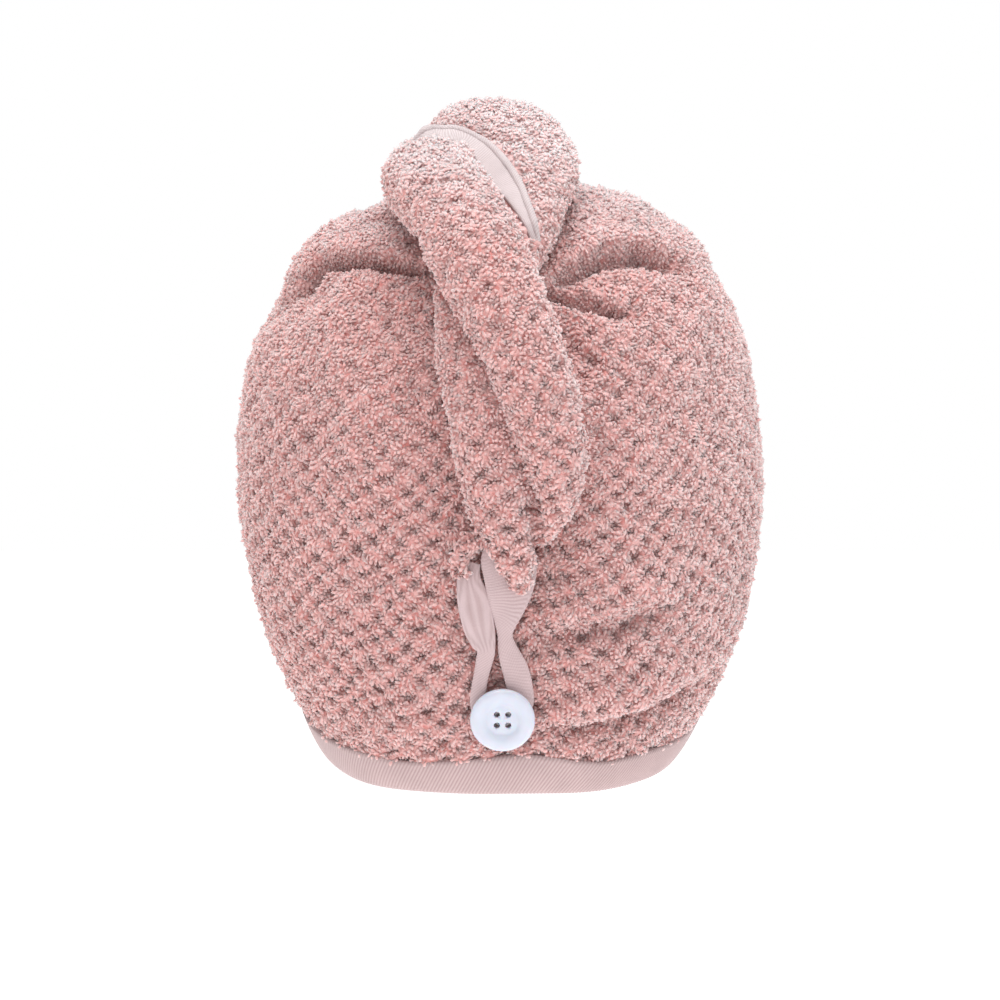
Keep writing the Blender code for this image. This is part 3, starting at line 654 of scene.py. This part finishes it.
def slopeOf(mesh, values):
    # gradient of a value over a mesh, one vector for each vertex
    places, _ = vertexArrays(mesh)
    ends = np.zeros(len(mesh.edges) * 2, int)
    mesh.edges.foreach_get("vertices", ends)
    a, b = ends.reshape(-1, 2).T
    run = places[b] - places[a]
    longSquared = np.maximum((run * run).sum(1), 1e-12)[:, None]
    rise = (values[b] - values[a])[:, None] * run / longSquared
    total, count = np.zeros(places.shape), np.zeros(len(places))
    for end in (a, b):
        np.add.at(total, end, rise)
        np.add.at(count, end, 0.5)
    return total / np.maximum(count, 1)[:, None]


def combOver(mesh, puff, down):
    # tufts splay from the crown of each puff towards the dimples
    away = -0.0040 * slopeOf(mesh, puff)
    away /= np.maximum(np.linalg.norm(away, axis=1, keepdims=True), 1.0)
    places, normals = vertexArrays(mesh)
    swirl = np.array([noise.noise_vector(Vector(p) * pile["swirlScale"]) for p in places])
    swirl -= normals * (swirl * normals).sum(1, keepdims=True)
    return away + 0.3 * down + pile["swirl"] * swirl


def packTuftUv(mesh, tuftVerts=7):
    # one small cell of the map for each tuft
    loops = np.zeros(len(mesh.loops), int)
    mesh.loops.foreach_get("vertex_index", loops)
    tuft, corner = loops // tuftVerts, loops % tuftVerts
    cells = int(math.ceil(math.sqrt(tuft.max() + 1)))
    shape = np.array(((0.1, 0.1), (0.5, 0.1), (0.9, 0.1), (0.1, 0.5), (0.5, 0.5), (0.9, 0.5),
                      (0.5, 0.9)))
    uv = (np.stack([tuft % cells, tuft // cells], -1) + shape[corner]) / cells
    layer = mesh.uv_layers.new(name="OFBake")
    layer.data.foreach_set("uv", uv.astype(np.float32).ravel())


pileTufts, twillRibs, tuftShape = tuftTree(), ribTree(), makeTuft()


def growPile(skin, name, sector, spacing, seed):
    values = {
        "Tuft": tuftShape, "Material": plushPile, "Sector": float(sector),
        "Spacing": spacing, "Length": pile["tuftLength"],
        "Width": pile["tuftWidth"], "Lean": pile["lean"], "Mess": pile["mess"],
        "Rise": pile["rise"], "Seed": seed,
    }
    grower = placed(name, skin.data)
    useTree(grower, pileTufts, values)
    made = finished(grower, name)
    packTuftUv(made.data)
    for layer in list(made.data.attributes):
        if layer.name in ("comb", "cover", "sector"):
            made.data.attributes.remove(layer)
    print(name, "tufts", len(made.data.vertices) // 7)
    return made


def lattice(across, up, places):
    # 1 on the puffs, 0 in the dimples between them, slightly irregular
    drift = np.array([noise.noise_vector(Vector(p) * pile["driftScale"]) for p in places])
    slant = math.radians(pile["latticeSlant"])
    a = across * math.cos(slant) / pile["latticePitch"] + drift[:, 0] * pile["drift"]
    b = up * math.sin(slant) / pile["latticePitch"] + drift[:, 1] * pile["drift"]
    p, q = np.cos(math.pi * (a + b)) ** 2, np.cos(math.pi * (a - b)) ** 2
    dimple = (p * q) ** 1.2
    groove = np.maximum(p, q) ** 6
    # higher up the dimples fade and loose clumps take their place
    high = smooth((places[:, 2] - pile["fadeFrom"]) / pile["fadeOver"])
    clump = np.array([noise.noise(Vector(p) * pile["clumpScale"]) for p in places])
    deep = np.clip(0.85 + 0.45 * drift[:, 2], 0.5, 1) * (1 - 0.5 * high)
    sunk = (dimple + 0.30 * groove) * deep
    return np.clip(1 - sunk - pile["clumpShare"] * high * np.maximum(clump, 0), 0, 1)


def lumps(places, size):
    return np.array([noise.noise(Vector(p) / size) for p in places])


def hemTop(theta):
    # the pile rolls over the binding, less in the middle of the nape
    x = hoodForm["width"] / 2 * np.sin(theta)
    roll = 1.0 + 0.20 * np.exp(-((x - 0.008) / 0.020) ** 2) - 0.10 * np.exp(
        -((np.abs(x - 0.002) - 0.045) / 0.016) ** 2)
    return hoodForm["hemHeight"] * np.where(np.cos(theta) > 0, roll, 1.0)


def makeHoodSkin():
    s = hoodForm
    columns, rows = s["columns"], s["rows"]
    theta = columnAngles(columns, s["backBias"])
    start = levelAt(theta, hemTop(theta) - 0.0004)
    t = (np.arange(rows) / (rows - 1))[:, None]
    level = start[None, :] + (s["rimLevel"] - start[None, :]) * t
    theta = np.broadcast_to(theta, level.shape)
    ground = hoodFace(theta, level, -pile["sink"])
    normal = hoodNormal(theta, level)
    seg = np.linalg.norm(np.roll(ground, -1, 1) - ground, axis=2)
    half = columns // 2
    across = np.zeros(level.shape)
    across[:, 1:half + 1] = np.cumsum(seg[:, :half], 1)
    across[:, half + 1:] = np.cumsum(seg[:, :half:-1], 1)[:, ::-1]
    up = np.zeros(level.shape)
    up[1:] = np.cumsum(np.linalg.norm(np.diff(ground, axis=0), axis=2), 0)
    flat = ground.reshape(-1, 3)
    puff = lattice(across.ravel(), up.ravel(), flat).reshape(level.shape)
    plain = hoodPoint(theta, level)
    crease = foldPush(plain[..., 0], plain[..., 2])[1] * smooth(np.cos(theta) * 3 + 0.6)
    # creases lower the puff value: shorter pile, a lower ground and painted shade in the crease
    puff = puff - s["creaseShadeAndDip"] * crease
    lump = lumps(flat, pile["lumpSize"]).reshape(level.shape)
    rise = pile["dimpleDepth"] * (np.maximum(puff, 0) - 0.8) + pile["lumpHeight"] * lump
    outer = ground + normal * rise[..., None]
    comb = -unit(np.gradient(ground, axis=0))
    facing = np.cos(theta)
    sector = np.where(facing > -0.12, 0, 2) + np.where(np.sin(theta) > 0, 1, 0)
    return outer, comb, puff, sector, theta, level


hoodOuter, hoodComb, hoodPuff, hoodSector, hoodTheta, hoodLevel = makeHoodSkin()


def makeHoodCloth():
    s = hoodForm
    rows, columns = hoodLevel.shape
    innerTheta, innerLevel = hoodTheta[::2, ::2], hoodLevel[::2, ::2]
    inner = hoodFace(innerTheta, innerLevel, -pile["sink"] - s["wall"])
    fuzz = lumps(inner.reshape(-1, 3), 0.006).reshape(innerLevel.shape)
    inner = inner + hoodNormal(innerTheta, innerLevel) * (fuzz * 0.0008)[..., None]
    innerRows, innerColumns = innerLevel.shape
    verts = np.concatenate([
        hoodOuter.reshape(-1, 3), [(0, 0, s["crownRise"] - pile["sink"])],
        inner.reshape(-1, 3), [(0, 0, s["crownRise"] - pile["sink"] - s["wall"])]])
    top, first = rows * columns, rows * columns + 1
    low = first + innerRows * innerColumns
    faces = list(gridFaces(rows, columns))
    faces += list(gridFaces(innerRows, innerColumns, first=first, flip=True))
    ring, innerRing = top - columns, low - innerColumns
    for i in range(columns):
        faces.append((ring + i, ring + (i + 1) % columns, top))
    for i in range(innerColumns):
        n = (i + 1) % innerColumns
        a, b, c = 2 * i, 2 * i + 1, (2 * i + 2) % columns
        faces.append((innerRing + n, innerRing + i, low))
        faces += [(b, a, first + i), (c, b, first + i), (c, first + i, first + n)]
    cloth = addMesh("hoodCloth", verts, faces, plushGround)
    inside = np.zeros(len(verts))
    inside[first:] = 1
    puff = np.ones(len(verts))
    puff[:top] = hoodPuff.ravel()
    giveAttributes(cloth.data, inside=inside, puff=puff)
    return cloth


hoodCloth = makeHoodCloth()
print("hood cloth", len(hoodCloth.data.polygons), "faces")


def gridTree(points):
    return BVHTree.FromPolygons(points.reshape(-1, 3).tolist(),
                                gridFaces(*points.shape[:2]).tolist())


hoodTree = gridTree(hoodFace(hoodTheta[::2, ::2], hoodLevel[::2, ::2]))


def spine(along):
    def at(u):
        return hoodPoint(np.where(u > 0, 0.0, math.pi), 1 - np.abs(u))
    run = at(along + 0.05) - at(along - 0.05)
    return at(along), unit(np.cross(run, (1.0, 0.0, 0.0)))


def strandTube(table):
    s = tailForm
    t = np.linspace(0, 1, s["steps"])
    along, side, standOff, halfWidth, halfDepth = spline(table, t).T
    point, outward = spine(along)
    centre = point + outward * (standOff * s["depth"])[:, None]
    centre[:, 0] += side * s["width"]
    return tube(centre, outward, halfWidth * s["width"], halfDepth * s["depth"],
                *sectionShape(s["sides"], s["power"]))


def sectionShape(sides, power):
    a = math.tau * np.arange(sides) / sides
    r = (np.abs(np.cos(a)) ** power + np.abs(np.sin(a)) ** power) ** (-1 / power)
    return r * np.cos(a), r * np.sin(a)


def lengthAlong(verts):
    # distance along a swept piece, the same all round each ring
    steps = np.linalg.norm(np.diff(verts.mean(1), axis=0), axis=1)
    return np.concatenate([[0], np.cumsum(steps)])[:, None] + np.zeros(verts.shape[:2])


def tube(centre, outward, halfWidth, halfDepth, acrossShape, outShape):
    run = unit(np.gradient(centre, axis=0))
    across = unit(np.cross(outward, run))
    out = np.cross(run, across)
    verts = (centre[:, None] + across[:, None] * (halfWidth[:, None] * acrossShape)[..., None]
             + out[:, None] * (halfDepth[:, None] * outShape)[..., None])
    return verts, across, out, run


def tubeFaces(rows, sides, first=0):
    faces = list(gridFaces(rows, sides, first=first))
    start, end = first + rows * sides, first + rows * sides + 1
    for i in range(sides):
        n = (i + 1) % sides
        faces.append((first + n, first + i, start))
        faces.append((first + (rows - 1) * sides + i, first + (rows - 1) * sides + n, end))
    return faces


def addTube(name, verts, material=None):
    rows, sides = verts.shape[:2]
    points = np.concatenate([verts.reshape(-1, 3), [verts[0].mean(0)], [verts[-1].mean(0)]])
    made = addMesh(name, points, tubeFaces(rows, sides), material)
    tidy = bmesh.new()
    tidy.from_mesh(made.data)
    bmesh.ops.recalc_face_normals(tidy, faces=tidy.faces)
    tidy.to_mesh(made.data)
    tidy.free()
    return made


def makeTail():
    s = tailForm
    strands = []
    for table in (leftStrand, rightStrand):
        verts, _, _, run = strandTube(table)
        around = np.cumsum(np.linalg.norm(np.roll(verts, -1, 1) - verts, axis=2), 1)
        strands.append((verts, around, lengthAlong(verts),
                        np.broadcast_to(run[:, None], verts.shape)))
    joined = [addTube("strand", v[0]) for v in strands]
    bpy.ops.object.select_all(action="DESELECT")
    for o in joined:
        o.select_set(True)
    bpy.context.view_layer.objects.active = joined[0]
    bpy.ops.object.join()
    tail = joined[0]
    remesh = tail.modifiers.new("remesh", "REMESH")
    remesh.mode, remesh.voxel_size, remesh.adaptivity = "VOXEL", s["voxel"], 0.0
    ease = tail.modifiers.new("ease", "SMOOTH")
    ease.factor, ease.iterations = 0.5, 2
    tail = finished(tail, "tailCloth")
    places, normals = vertexArrays(tail.data)
    # pressed against the hood, so that nothing hangs through its wall
    gap, groove = np.full(len(places), 1.0), np.zeros(len(places))
    strandTrees = [gridTree(v[0]) for v in strands]
    for i, p in enumerate(places):
        hit, out, _, _ = hoodTree.find_nearest(Vector(p))
        off = (Vector(p) - hit).dot(out)
        gap[i] = off
        far = max(tree.find_nearest(Vector(p))[3] for tree in strandTrees)
        groove[i] = math.exp(-(far / s["grooveWidth"]) ** 2)
        if off < -s["press"] and p[2] > 0:
            places[i] = hit - out * s["press"]
    # lattice and comb come from the nearest point on either strand
    cloud = np.concatenate([v[0].reshape(-1, 3) for v in strands])
    fields = np.concatenate([np.column_stack([v[1].ravel(), v[2].ravel(), v[3].reshape(-1, 3)])
                             for v in strands])
    finder = KDTree(len(cloud))
    for i, p in enumerate(cloud):
        finder.insert(p, i)
    finder.balance()
    near = np.array([finder.find(p)[1] for p in places])
    field = fields[near]
    puff = lattice(field[:, 0], field[:, 1], places)
    lump = lumps(places, pile["lumpSize"])
    rise = (-pile["sink"] + pile["dimpleDepth"] * (puff - 0.8)
            + s["lumpShare"] * pile["lumpHeight"] * lump)
    rise -= s["grooveDepth"] * groove
    places += normals * (rise * smooth(gap / s["seatFade"]))[:, None]
    tail.data.vertices.foreach_set("co", places.ravel())
    tail.data.materials.clear()
    tail.data.materials.append(plushGround)
    tail.data.shade_smooth()
    giveAttributes(tail.data, puff=puff, comb=combOver(tail.data, puff, field[:, 2:5]),
                   sector=np.zeros(len(places)), cover=(gap > s["bareBelow"]) * 1.0,
                   inside=np.zeros(len(places)))
    tail.data.update()
    return tail


def treeOf(obj):
    obj.data.calc_loop_triangles()
    places, _ = vertexArrays(obj.data)
    corners = np.zeros(len(obj.data.loop_triangles) * 3, int)
    obj.data.loop_triangles.foreach_get("vertices", corners)
    return BVHTree.FromPolygons(places.tolist(), corners.reshape(-1, 3).tolist())


def seenFromBehind(tree, x, z):
    hit, normal, _, _ = tree.ray_cast(Vector((x, -1.0, z)), Vector((0, 1, 0)))
    return hit, normal


tailCloth = makeTail()
tailTree = treeOf(tailCloth)
print("tail cloth", len(tailCloth.data.polygons), "faces")

tailTape = {
    "depth": 0.0022, "pipeWidth": 0.0030, "steps": 220, "sides": 32,
    "ribPitch": 0.0011, "ribHeight": 0.00010, "lift": 0.0020, "dive": 0.7,
    "pipeSides": 16, "pipeOut": 0.0006, "pipePitch": 0.0013, "pipeRib": 0.00030,
    # x and z as shares of half the width and of crownRise, then width in metres
    "line": ((-0.311, 1.057, 0.0058), (-0.219, 1.0735, 0.0100), (-0.161, 1.063, 0.0132),
             (-0.095, 1.041, 0.0145), (-0.044, 1.010, 0.0145), (-0.004, 0.981, 0.0137),
             (0.037, 0.951, 0.0112), (0.073, 0.914, 0.0082), (0.102, 0.877, 0.0060),
             (0.132, 0.842, 0.0040)),
}


def ribbed(obj, verts, material, pitch, height, slant, turned=None):
    # weave coordinates along and across a swept tape, then its ribs
    rows, sides = verts.shape[:2]
    along = lengthAlong(verts)
    middle = verts.mean(1, keepdims=True)
    aside = ((verts - middle) * unit(verts[:, :1] - middle)).sum(2)
    relief = np.ones((rows, sides))
    if turned is not None:
        # on these rows the ribs run along the tape, and are fainter
        relief = np.where(turned, 0.4, 1.0) * relief
        along, aside = np.where(turned, aside * 0.9, along), np.where(turned, 0, aside)
    weave = np.stack([along, aside, relief], -1)
    weave = np.concatenate([weave.reshape(-1, 3), np.zeros((2, 3))])    # and the two end points
    giveAttributes(obj.data, weave=weave)
    useTree(obj, twillRibs, {"Pitch": pitch, "Height": height, "Slant": slant,
                             "Material": material})
    return finished(obj)


def makeTailTape():
    s = tailTape
    t = np.linspace(0, 1, 25)
    line = spline(np.array(s["line"]), t)
    places, normals, widths = [], [], []
    for x, z, width in line:
        hit, out = seenFromBehind(tailTree, x * hoodForm["width"] / 2, z * hoodForm["crownRise"])
        if hit:
            places.append(hit)
            normals.append(out)
            widths.append(width)
    places, normals, widths = np.array(places), np.array(normals), np.array(widths)
    count = len(places)
    centre, outward = places.copy(), normals.copy()
    for i in range(count):
        reach = min(i, count - 1 - i, 3)
        centre[i] = places[i - reach:i + reach + 1].mean(0)
        outward[i] = unit(normals[max(i - 4, 0):i + 5].sum(0))
    fine = np.linspace(0, 1, s["steps"])
    centre, outward = spline(centre, fine), unit(spline(outward, fine))
    # its ends dive into the pile
    taper = smooth(fine / 0.06) * smooth((1 - fine) / 0.10)
    centre = centre + outward * (s["lift"] * ((1 + s["dive"]) * taper - s["dive"]))[:, None]
    half = spline(widths[:, None], fine)[:, 0] / 2
    verts, across, out, _ = tube(centre, outward, half,
                                 np.full(s["steps"], s["depth"] / 2),
                                 *sectionShape(s["sides"], 4.0))
    band = ribbed(addTube("tailTape", verts), verts, crownTwill, s["ribPitch"],
                  s["ribHeight"], 1.0)
    edge = centre + across * (half - s["pipeWidth"] / 2)[:, None] + out * s["pipeOut"]
    thick = s["pipeWidth"] / 2 * (0.4 + 0.6 * taper)
    piped, _, _, _ = tube(edge, outward, thick, thick * 0.9,
                          *sectionShape(s["pipeSides"], 2.0))
    pipe = ribbed(addTube("tailPiping", piped), piped, crownTwill, s["pipePitch"],
                  s["pipeRib"], 0.9)
    return band, pipe


tailBand, tailPipe = makeTailTape()


def bareUnder(cloth, cover, reach):
    # no pile grows where another piece lies on the cloth
    tree = treeOf(cover)
    places, _ = vertexArrays(cloth.data)
    for i, p in enumerate(places):
        if tree.find_nearest(Vector(p), reach)[0]:
            cloth.data.attributes["cover"].data[i].value = 0.0


bareUnder(tailCloth, tailBand, 0.0018)
print("tape on the tail ready")

loopTape = {
    "depth": 0.0018, "waist": 0.21, "steps": 420, "sides": 40, "ribPitch": 0.00135,
    "ribHeight": 0.00011,
    # x, z, height over the hood and width, in millimetres, from left root to right root
    "line": ((-11.0, 41, 6.0, 7.0), (-12.4, 34.5, 6.8, 9.6), (-10.4, 25.5, 6.6, 13.2),
             (-8.7, 16.7, 6.2, 12.6), (-7.0, 10.7, 5.6, 10.8), (-5.6, 5.9, 4.9, 7.4),
             (-6.4, 1.2, 3.9, 6.6), (-7.4, -3.6, 3.1, 6.0), (-8.4, -9.0, 2.6, 6.0),
             (-8.8, -16, 2.2, 6.2), (-6.6, -24, 2.0, 6.2), (0, -28, 2.0, 6.2),
             (6.8, -24, 2.0, 6.6), (9.0, -15.5, 2.3, 8.8), (7.8, -8.6, 2.6, 10.4),
             (6.4, -2.8, 2.9, 10.4), (4.5, 2.2, 3.3, 9.4), (2.8, 7.2, 3.6, 7.4),
             (2.0, 12.0, 4.2, 6.0), (2.2, 16.4, 5.4, 8.6), (2.9, 22, 6.6, 13.2),
             (3.6, 29, 7.6, 18.0), (3.9, 36, 8.2, 21.0), (3.4, 43, 8.8, 22.0),
             (2.8, 50, 9.4, 17.0)),
}
buttonForm = {
    "diameter": 0.0262, "thickness": 0.0042, "rise": 0.034,
    "holeDiameter": 0.0024, "holeSpacing": 0.0045,
    # radius and height as shares, from the middle of the back round to the dish
    "profile": ((0.00, -1.00), (0.70, -1.00), (0.84, -0.92), (0.93, -0.68), (0.985, -0.30),
                (1.00, 0.02), (0.992, 0.30), (0.965, 0.58), (0.92, 0.82), (0.86, 0.96),
                (0.79, 1.00), (0.71, 0.97), (0.63, 0.86), (0.565, 0.66), (0.52, 0.45),
                (0.48, 0.31), (0.42, 0.25), (0.30, 0.23), (0.00, 0.22)),
    # the same for a hole's drill, radius as a share of the hole's own
    "drill": ((0.0, -3.0), (1.35, -3.0), (1.22, -1.0), (1.0, -0.8), (1.0, 0.12),
              (1.16, 0.24), (1.3, 3.0), (0.0, 3.0)),
    "around": 96, "drillAround": 28, "standOff": 0.0063, "side": 0.001,
}


def outwardAt(z):
    level = 1 - levelAt(np.array(0.0), z + hoodForm["napeDrop"])
    return spine(np.asarray(level))[1]


def makeLoop():
    s = loopTape
    table = []
    for x, z, over, width in s["line"]:
        hit, _ = seenFromBehind(hoodTree, x / 1000, z / 1000)
        out = outwardAt(z / 1000)
        table.append((*(np.array(hit) + out * over / 1000), *out, width / 2000))
    fine = spline(np.array(table), np.linspace(0, 1, s["steps"]))
    centre, outward, half = fine[:, :3], unit(fine[:, 3:6]), fine[:, 6]
    acrossShape, outShape = sectionShape(s["sides"], 4.5)
    # the tape curls a little, so that its edges roll down
    verts, _, out, _ = tube(centre, outward, half, np.full(len(half), s["depth"] / 2),
                            acrossShape, outShape)
    curl = -0.10 * half[:, None] * acrossShape ** 2
    verts = verts + out[:, None] * curl[..., None]
    ends = np.arange(len(half))[:, None] < s["waist"] * len(half)
    return ribbed(addTube("loopTape", verts), verts, loopTwill, s["ribPitch"], s["ribHeight"],
                  1.1, turned=ends)


def turnedSolid(name, line, steps, merge):
    # a line of radius and height, turned round the upright axis
    solid = bmesh.new()
    points = [solid.verts.new((radius, 0, height)) for radius, height in line]
    for a, b in zip(points, points[1:]):
        solid.edges.new((a, b))
    bmesh.ops.spin(solid, geom=solid.verts[:] + solid.edges[:], cent=(0, 0, 0),
                   axis=(0, 0, 1), angle=math.tau, steps=steps, use_merge=True)
    bmesh.ops.remove_doubles(solid, verts=solid.verts, dist=merge)
    bmesh.ops.recalc_face_normals(solid, faces=solid.faces)
    mesh = bpy.data.meshes.new(name)
    solid.to_mesh(mesh)
    solid.free()
    return placed(name, mesh)


def makeButton():
    s = buttonForm
    radius, half, hole = s["diameter"] / 2, s["thickness"] / 2, s["holeDiameter"] / 2
    disc = turnedSolid("buttonDisc", [(r * radius, h * half) for r, h in s["profile"]],
                       s["around"], 1e-5)
    disc.data.materials.append(buttonGloss)
    # a waisted drill that eases each hole's two edges
    drillLine = [(r * hole, h * half) for r, h in s["drill"]]
    cutters = []
    for x in (-0.5, 0.5):
        for y in (-0.5, 0.5):
            cutter = turnedSolid("drill", drillLine, s["drillAround"], 1e-6)
            cutter.data.transform(Matrix.Translation(
                (x * s["holeSpacing"], y * s["holeSpacing"], 0)))
            cut = disc.modifiers.new("hole", "BOOLEAN")
            cut.operation, cut.solver, cut.object = "DIFFERENCE", "EXACT", cutter
            cutters.append(cutter)
    made = finished(disc, "buttonDisc")
    for cutter in cutters:
        bpy.data.objects.remove(cutter, do_unlink=True)
    z = -hoodForm["napeDrop"] + s["rise"]
    seat, _ = seenFromBehind(hoodTree, s["side"], z)
    outward = Vector(outwardAt(z))
    turn = Vector((0, 0, 1)).rotation_difference(outward).to_matrix().to_4x4()
    turn.translation = seat + outward * s["standOff"]
    made.data.transform(turn)
    made.data.shade_smooth()
    return made, seat, outward


shankForm = {
    "turns": 9, "steps": 180, "thread": 0.00042, "start": 0.0002, "height": 0.0036,
    "radius": 0.0021, "flare": 0.0013,
}


def makeShank(seat, outward):
    # thread wound round the shank under the button
    s = shankForm
    t = np.linspace(0, 1, s["steps"])
    side = unit(np.cross(np.array(outward), (1.0, 0.0, 0.0)))
    other = np.cross(np.array(outward), side)
    a = t * s["turns"] * math.tau
    away = np.cos(a)[:, None] * side + np.sin(a)[:, None] * other
    centre = (np.array(seat) + np.array(outward) * (s["start"] + s["height"] * t)[:, None]
              + (s["radius"] + s["flare"] * t ** 3)[:, None] * away)
    thick = np.full(s["steps"], s["thread"])
    verts, _, _, _ = tube(centre, unit(away), thick, thick, *sectionShape(8, 2.0))
    return addTube("shankThread", verts, sewingThread)


loopCloth = makeLoop()
buttonDisc, buttonSeat, buttonOut = makeButton()
shankThread = makeShank(buttonSeat, buttonOut)
print("loop, button and shank ready")

hemForm = {
    "height": 0.014, "wall": 0.0030, "inset": 0.0008, "ribs": 440, "perRib": 4,
    "slant": 0.58, "ribHeight": 0.00022, "wave": 0.0004,
    # height and depth as shares: down the outer face, round the fold and up the inner face
    "section": ((1.00, 0.10), (0.88, 0.02), (0.72, -0.04), (0.56, -0.07), (0.40, -0.07),
                (0.25, -0.03), (0.12, 0.06), (0.03, 0.22), (0.00, 0.50), (0.03, 0.78),
                (0.12, 0.94), (0.40, 1.00), (0.70, 1.00), (1.00, 0.92)),
}


def makeHem():
    s = hemForm
    columns = s["ribs"] * s["perRib"]
    base = math.tau * np.arange(columns) / columns
    ring = hoodPoint(base, np.zeros(columns))
    step = np.linalg.norm(np.roll(ring, -1, 0) - ring, axis=1)
    length = np.concatenate([[0], np.cumsum(step)])
    base = np.interp(np.arange(columns) / columns * length[-1], length,
                     np.append(base, math.tau))
    radius = np.linalg.norm(hoodPoint(base, np.zeros(columns))[:, :2], axis=1)
    rings, depths = [], []
    for up, depth in s["section"]:
        theta = base + s["slant"] * s["height"] * up / radius
        level = levelAt(theta, hemTop(theta) * up)
        inward = s["inset"] + s["wall"] * depth
        wave = s["wave"] * np.sin(theta * 9 + 1.3) * np.sin(theta * 4)
        normal = hoodNormal(theta, np.maximum(level, 0.02))
        rings.append(hoodPoint(theta, level) - normal * (inward + wave)[:, None])
        depths.append(np.clip(1 - depth * 1.2, 0, 1) * np.ones(columns))
    verts = np.array(rings)
    faces = gridFaces(len(rings), columns, flip=True).tolist()
    last = (len(rings) - 1) * columns
    for i in range(columns):
        n = (i + 1) % columns
        faces.append((i, n, last + n, last + i))
    band = addMesh("hemBand", verts, faces)
    along = np.arange(columns) / columns * s["ribs"]
    weave = np.stack([np.broadcast_to(along, verts.shape[:2]), np.zeros(verts.shape[:2]),
                      np.array(depths)], -1)
    giveAttributes(band.data, weave=weave)
    useTree(band, twillRibs, {"Pitch": 1.0, "Height": s["ribHeight"], "Slant": 0.0,
                              "Material": hemTwill})
    return finished(band)


hemBand = makeHem()
print("hem binding", len(hemBand.data.polygons), "faces")


def makeHoodPile():
    rows, columns = hoodLevel.shape
    flat = hoodOuter.reshape(-1, 3)
    cover = np.ones(len(flat))
    for i, p in enumerate(flat):
        if p[2] > -0.01 and abs(p[0]) < 0.06:
            hit, out, _, gap = tailTree.find_nearest(Vector(p))
            covered = gap < 0.006 and (Vector(p) - hit).dot(out) < 0
            if gap < 0.0005 or covered:
                cover[i] = 0
    skin = addMesh("hoodSkin", flat, gridFaces(rows, columns))
    giveAttributes(skin.data, puff=hoodPuff, sector=hoodSector, cover=cover, comb=combOver(
        skin.data, hoodPuff.ravel(), hoodComb.reshape(-1, 3)))
    made = []
    for sector, side in enumerate(("BackLeft", "BackRight", "FrontLeft", "FrontRight")):
        spacing = pile["backSpacing"] if sector < 2 else pile["frontSpacing"]
        made.append(growPile(skin, "hoodPile" + side, sector, spacing, 20 + sector))
    bpy.data.objects.remove(skin, do_unlink=True)
    return made


hoodPile = makeHoodPile()
tailPile = growPile(tailCloth, "tailPile", 0, pile["tailSpacing"], 31)
bpy.data.objects.remove(tuftShape, do_unlink=True)
print("pile ready")

for piece, nodes, slotName in (
        (hoodCloth, ("hood",), "plush"), (tailCloth, ("tail",), "plush"),
        (hemBand, ("hem_binding",), "twill_tape"), (tailBand, ("tail_binding",), "twill_tape"),
        (tailPipe, (), "twill_tape"), (loopCloth, ("loop",), "twill_tape"),
        (buttonDisc, ("button",), "button_gloss"),
        (shankThread, ("button_thread",), "white_thread"),
        *((p, (), "plush") for p in (*hoodPile, tailPile))):
    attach(piece, "root")
    if nodes:
        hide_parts(*nodes)

studio = {
    "floorDrop": 0.35, "floorSize": 30.0, "floorGlow": 0.70, "floorTone": 0.93, "aim": 0.07,
    "worldStrength": 0.44, "backdrop": 1.0,
    "keyPower": 18.0, "keyPlace": (-0.6, -1.5, 1.8), "keySize": 1.8,
    "fillPower": 5.0, "fillPlace": (1.6, -1.2, 0.8), "fillSize": 1.8,
    "topPower": 38.0, "topPlace": (0.1, -0.4, 2.0), "topSize": 1.6,
}
shot = {"place": (0.0, -1.7, 0.0656), "lens": 142.3, "sensor": 36.0}


def addLight(name, power, place, size):
    lamp = bpy.data.lights.new(name, "AREA")
    lamp.energy, lamp.size = power, size
    made = placed(name, lamp)
    made.location = place
    made.rotation_euler = (Vector((0, 0, studio["aim"])) - Vector(place)).to_track_quat(
        "-Z", "Y").to_euler()


half, drop, white = studio["floorSize"], -studio["floorDrop"], (1.0, 1.0, 1.0, 1.0)
floor = addMesh("floor", [(x, y, drop) for x, y in (
    (-half, -half), (half, -half), (half, half), (-half, half))], [(0, 1, 2, 3)])
floorPaper, _, _ = startMaterial(
    "floorPaper", 0.9, Base_Color=(*[studio["floorTone"]] * 3, 1.0), Emission_Color=white,
    Emission_Strength=studio["floorGlow"])
floor.data.materials.append(floorPaper)
for name in ("key", "fill", "top"):
    addLight(name, studio[name + "Power"], studio[name + "Place"], studio[name + "Size"])
world = bpy.data.worlds.new("softWorld")
scene.world = world
world.use_nodes = True
sky = world.node_tree
sky.nodes.clear()
lit, seen = (
    node(sky, "ShaderNodeBackground", {"Color": white, "Strength": studio[name]}).outputs[0]
    for name in ("worldStrength", "backdrop"))
isSeen = node(sky, "ShaderNodeLightPath").outputs["Is Camera Ray"]
mix = node(sky, "ShaderNodeMixShader", {0: isSeen, 1: lit, 2: seen})
node(sky, "ShaderNodeOutputWorld", {0: mix.outputs[0]})
scene.view_settings.view_transform = "Standard"
camera = bpy.data.cameras.new("camera")
camera.lens, camera.sensor_width = shot["lens"], shot["sensor"]
cameraObject = placed("camera", camera)
cameraObject.location = shot["place"]
cameraObject.rotation_euler = (math.pi / 2, 0, 0)
scene.camera = cameraObject
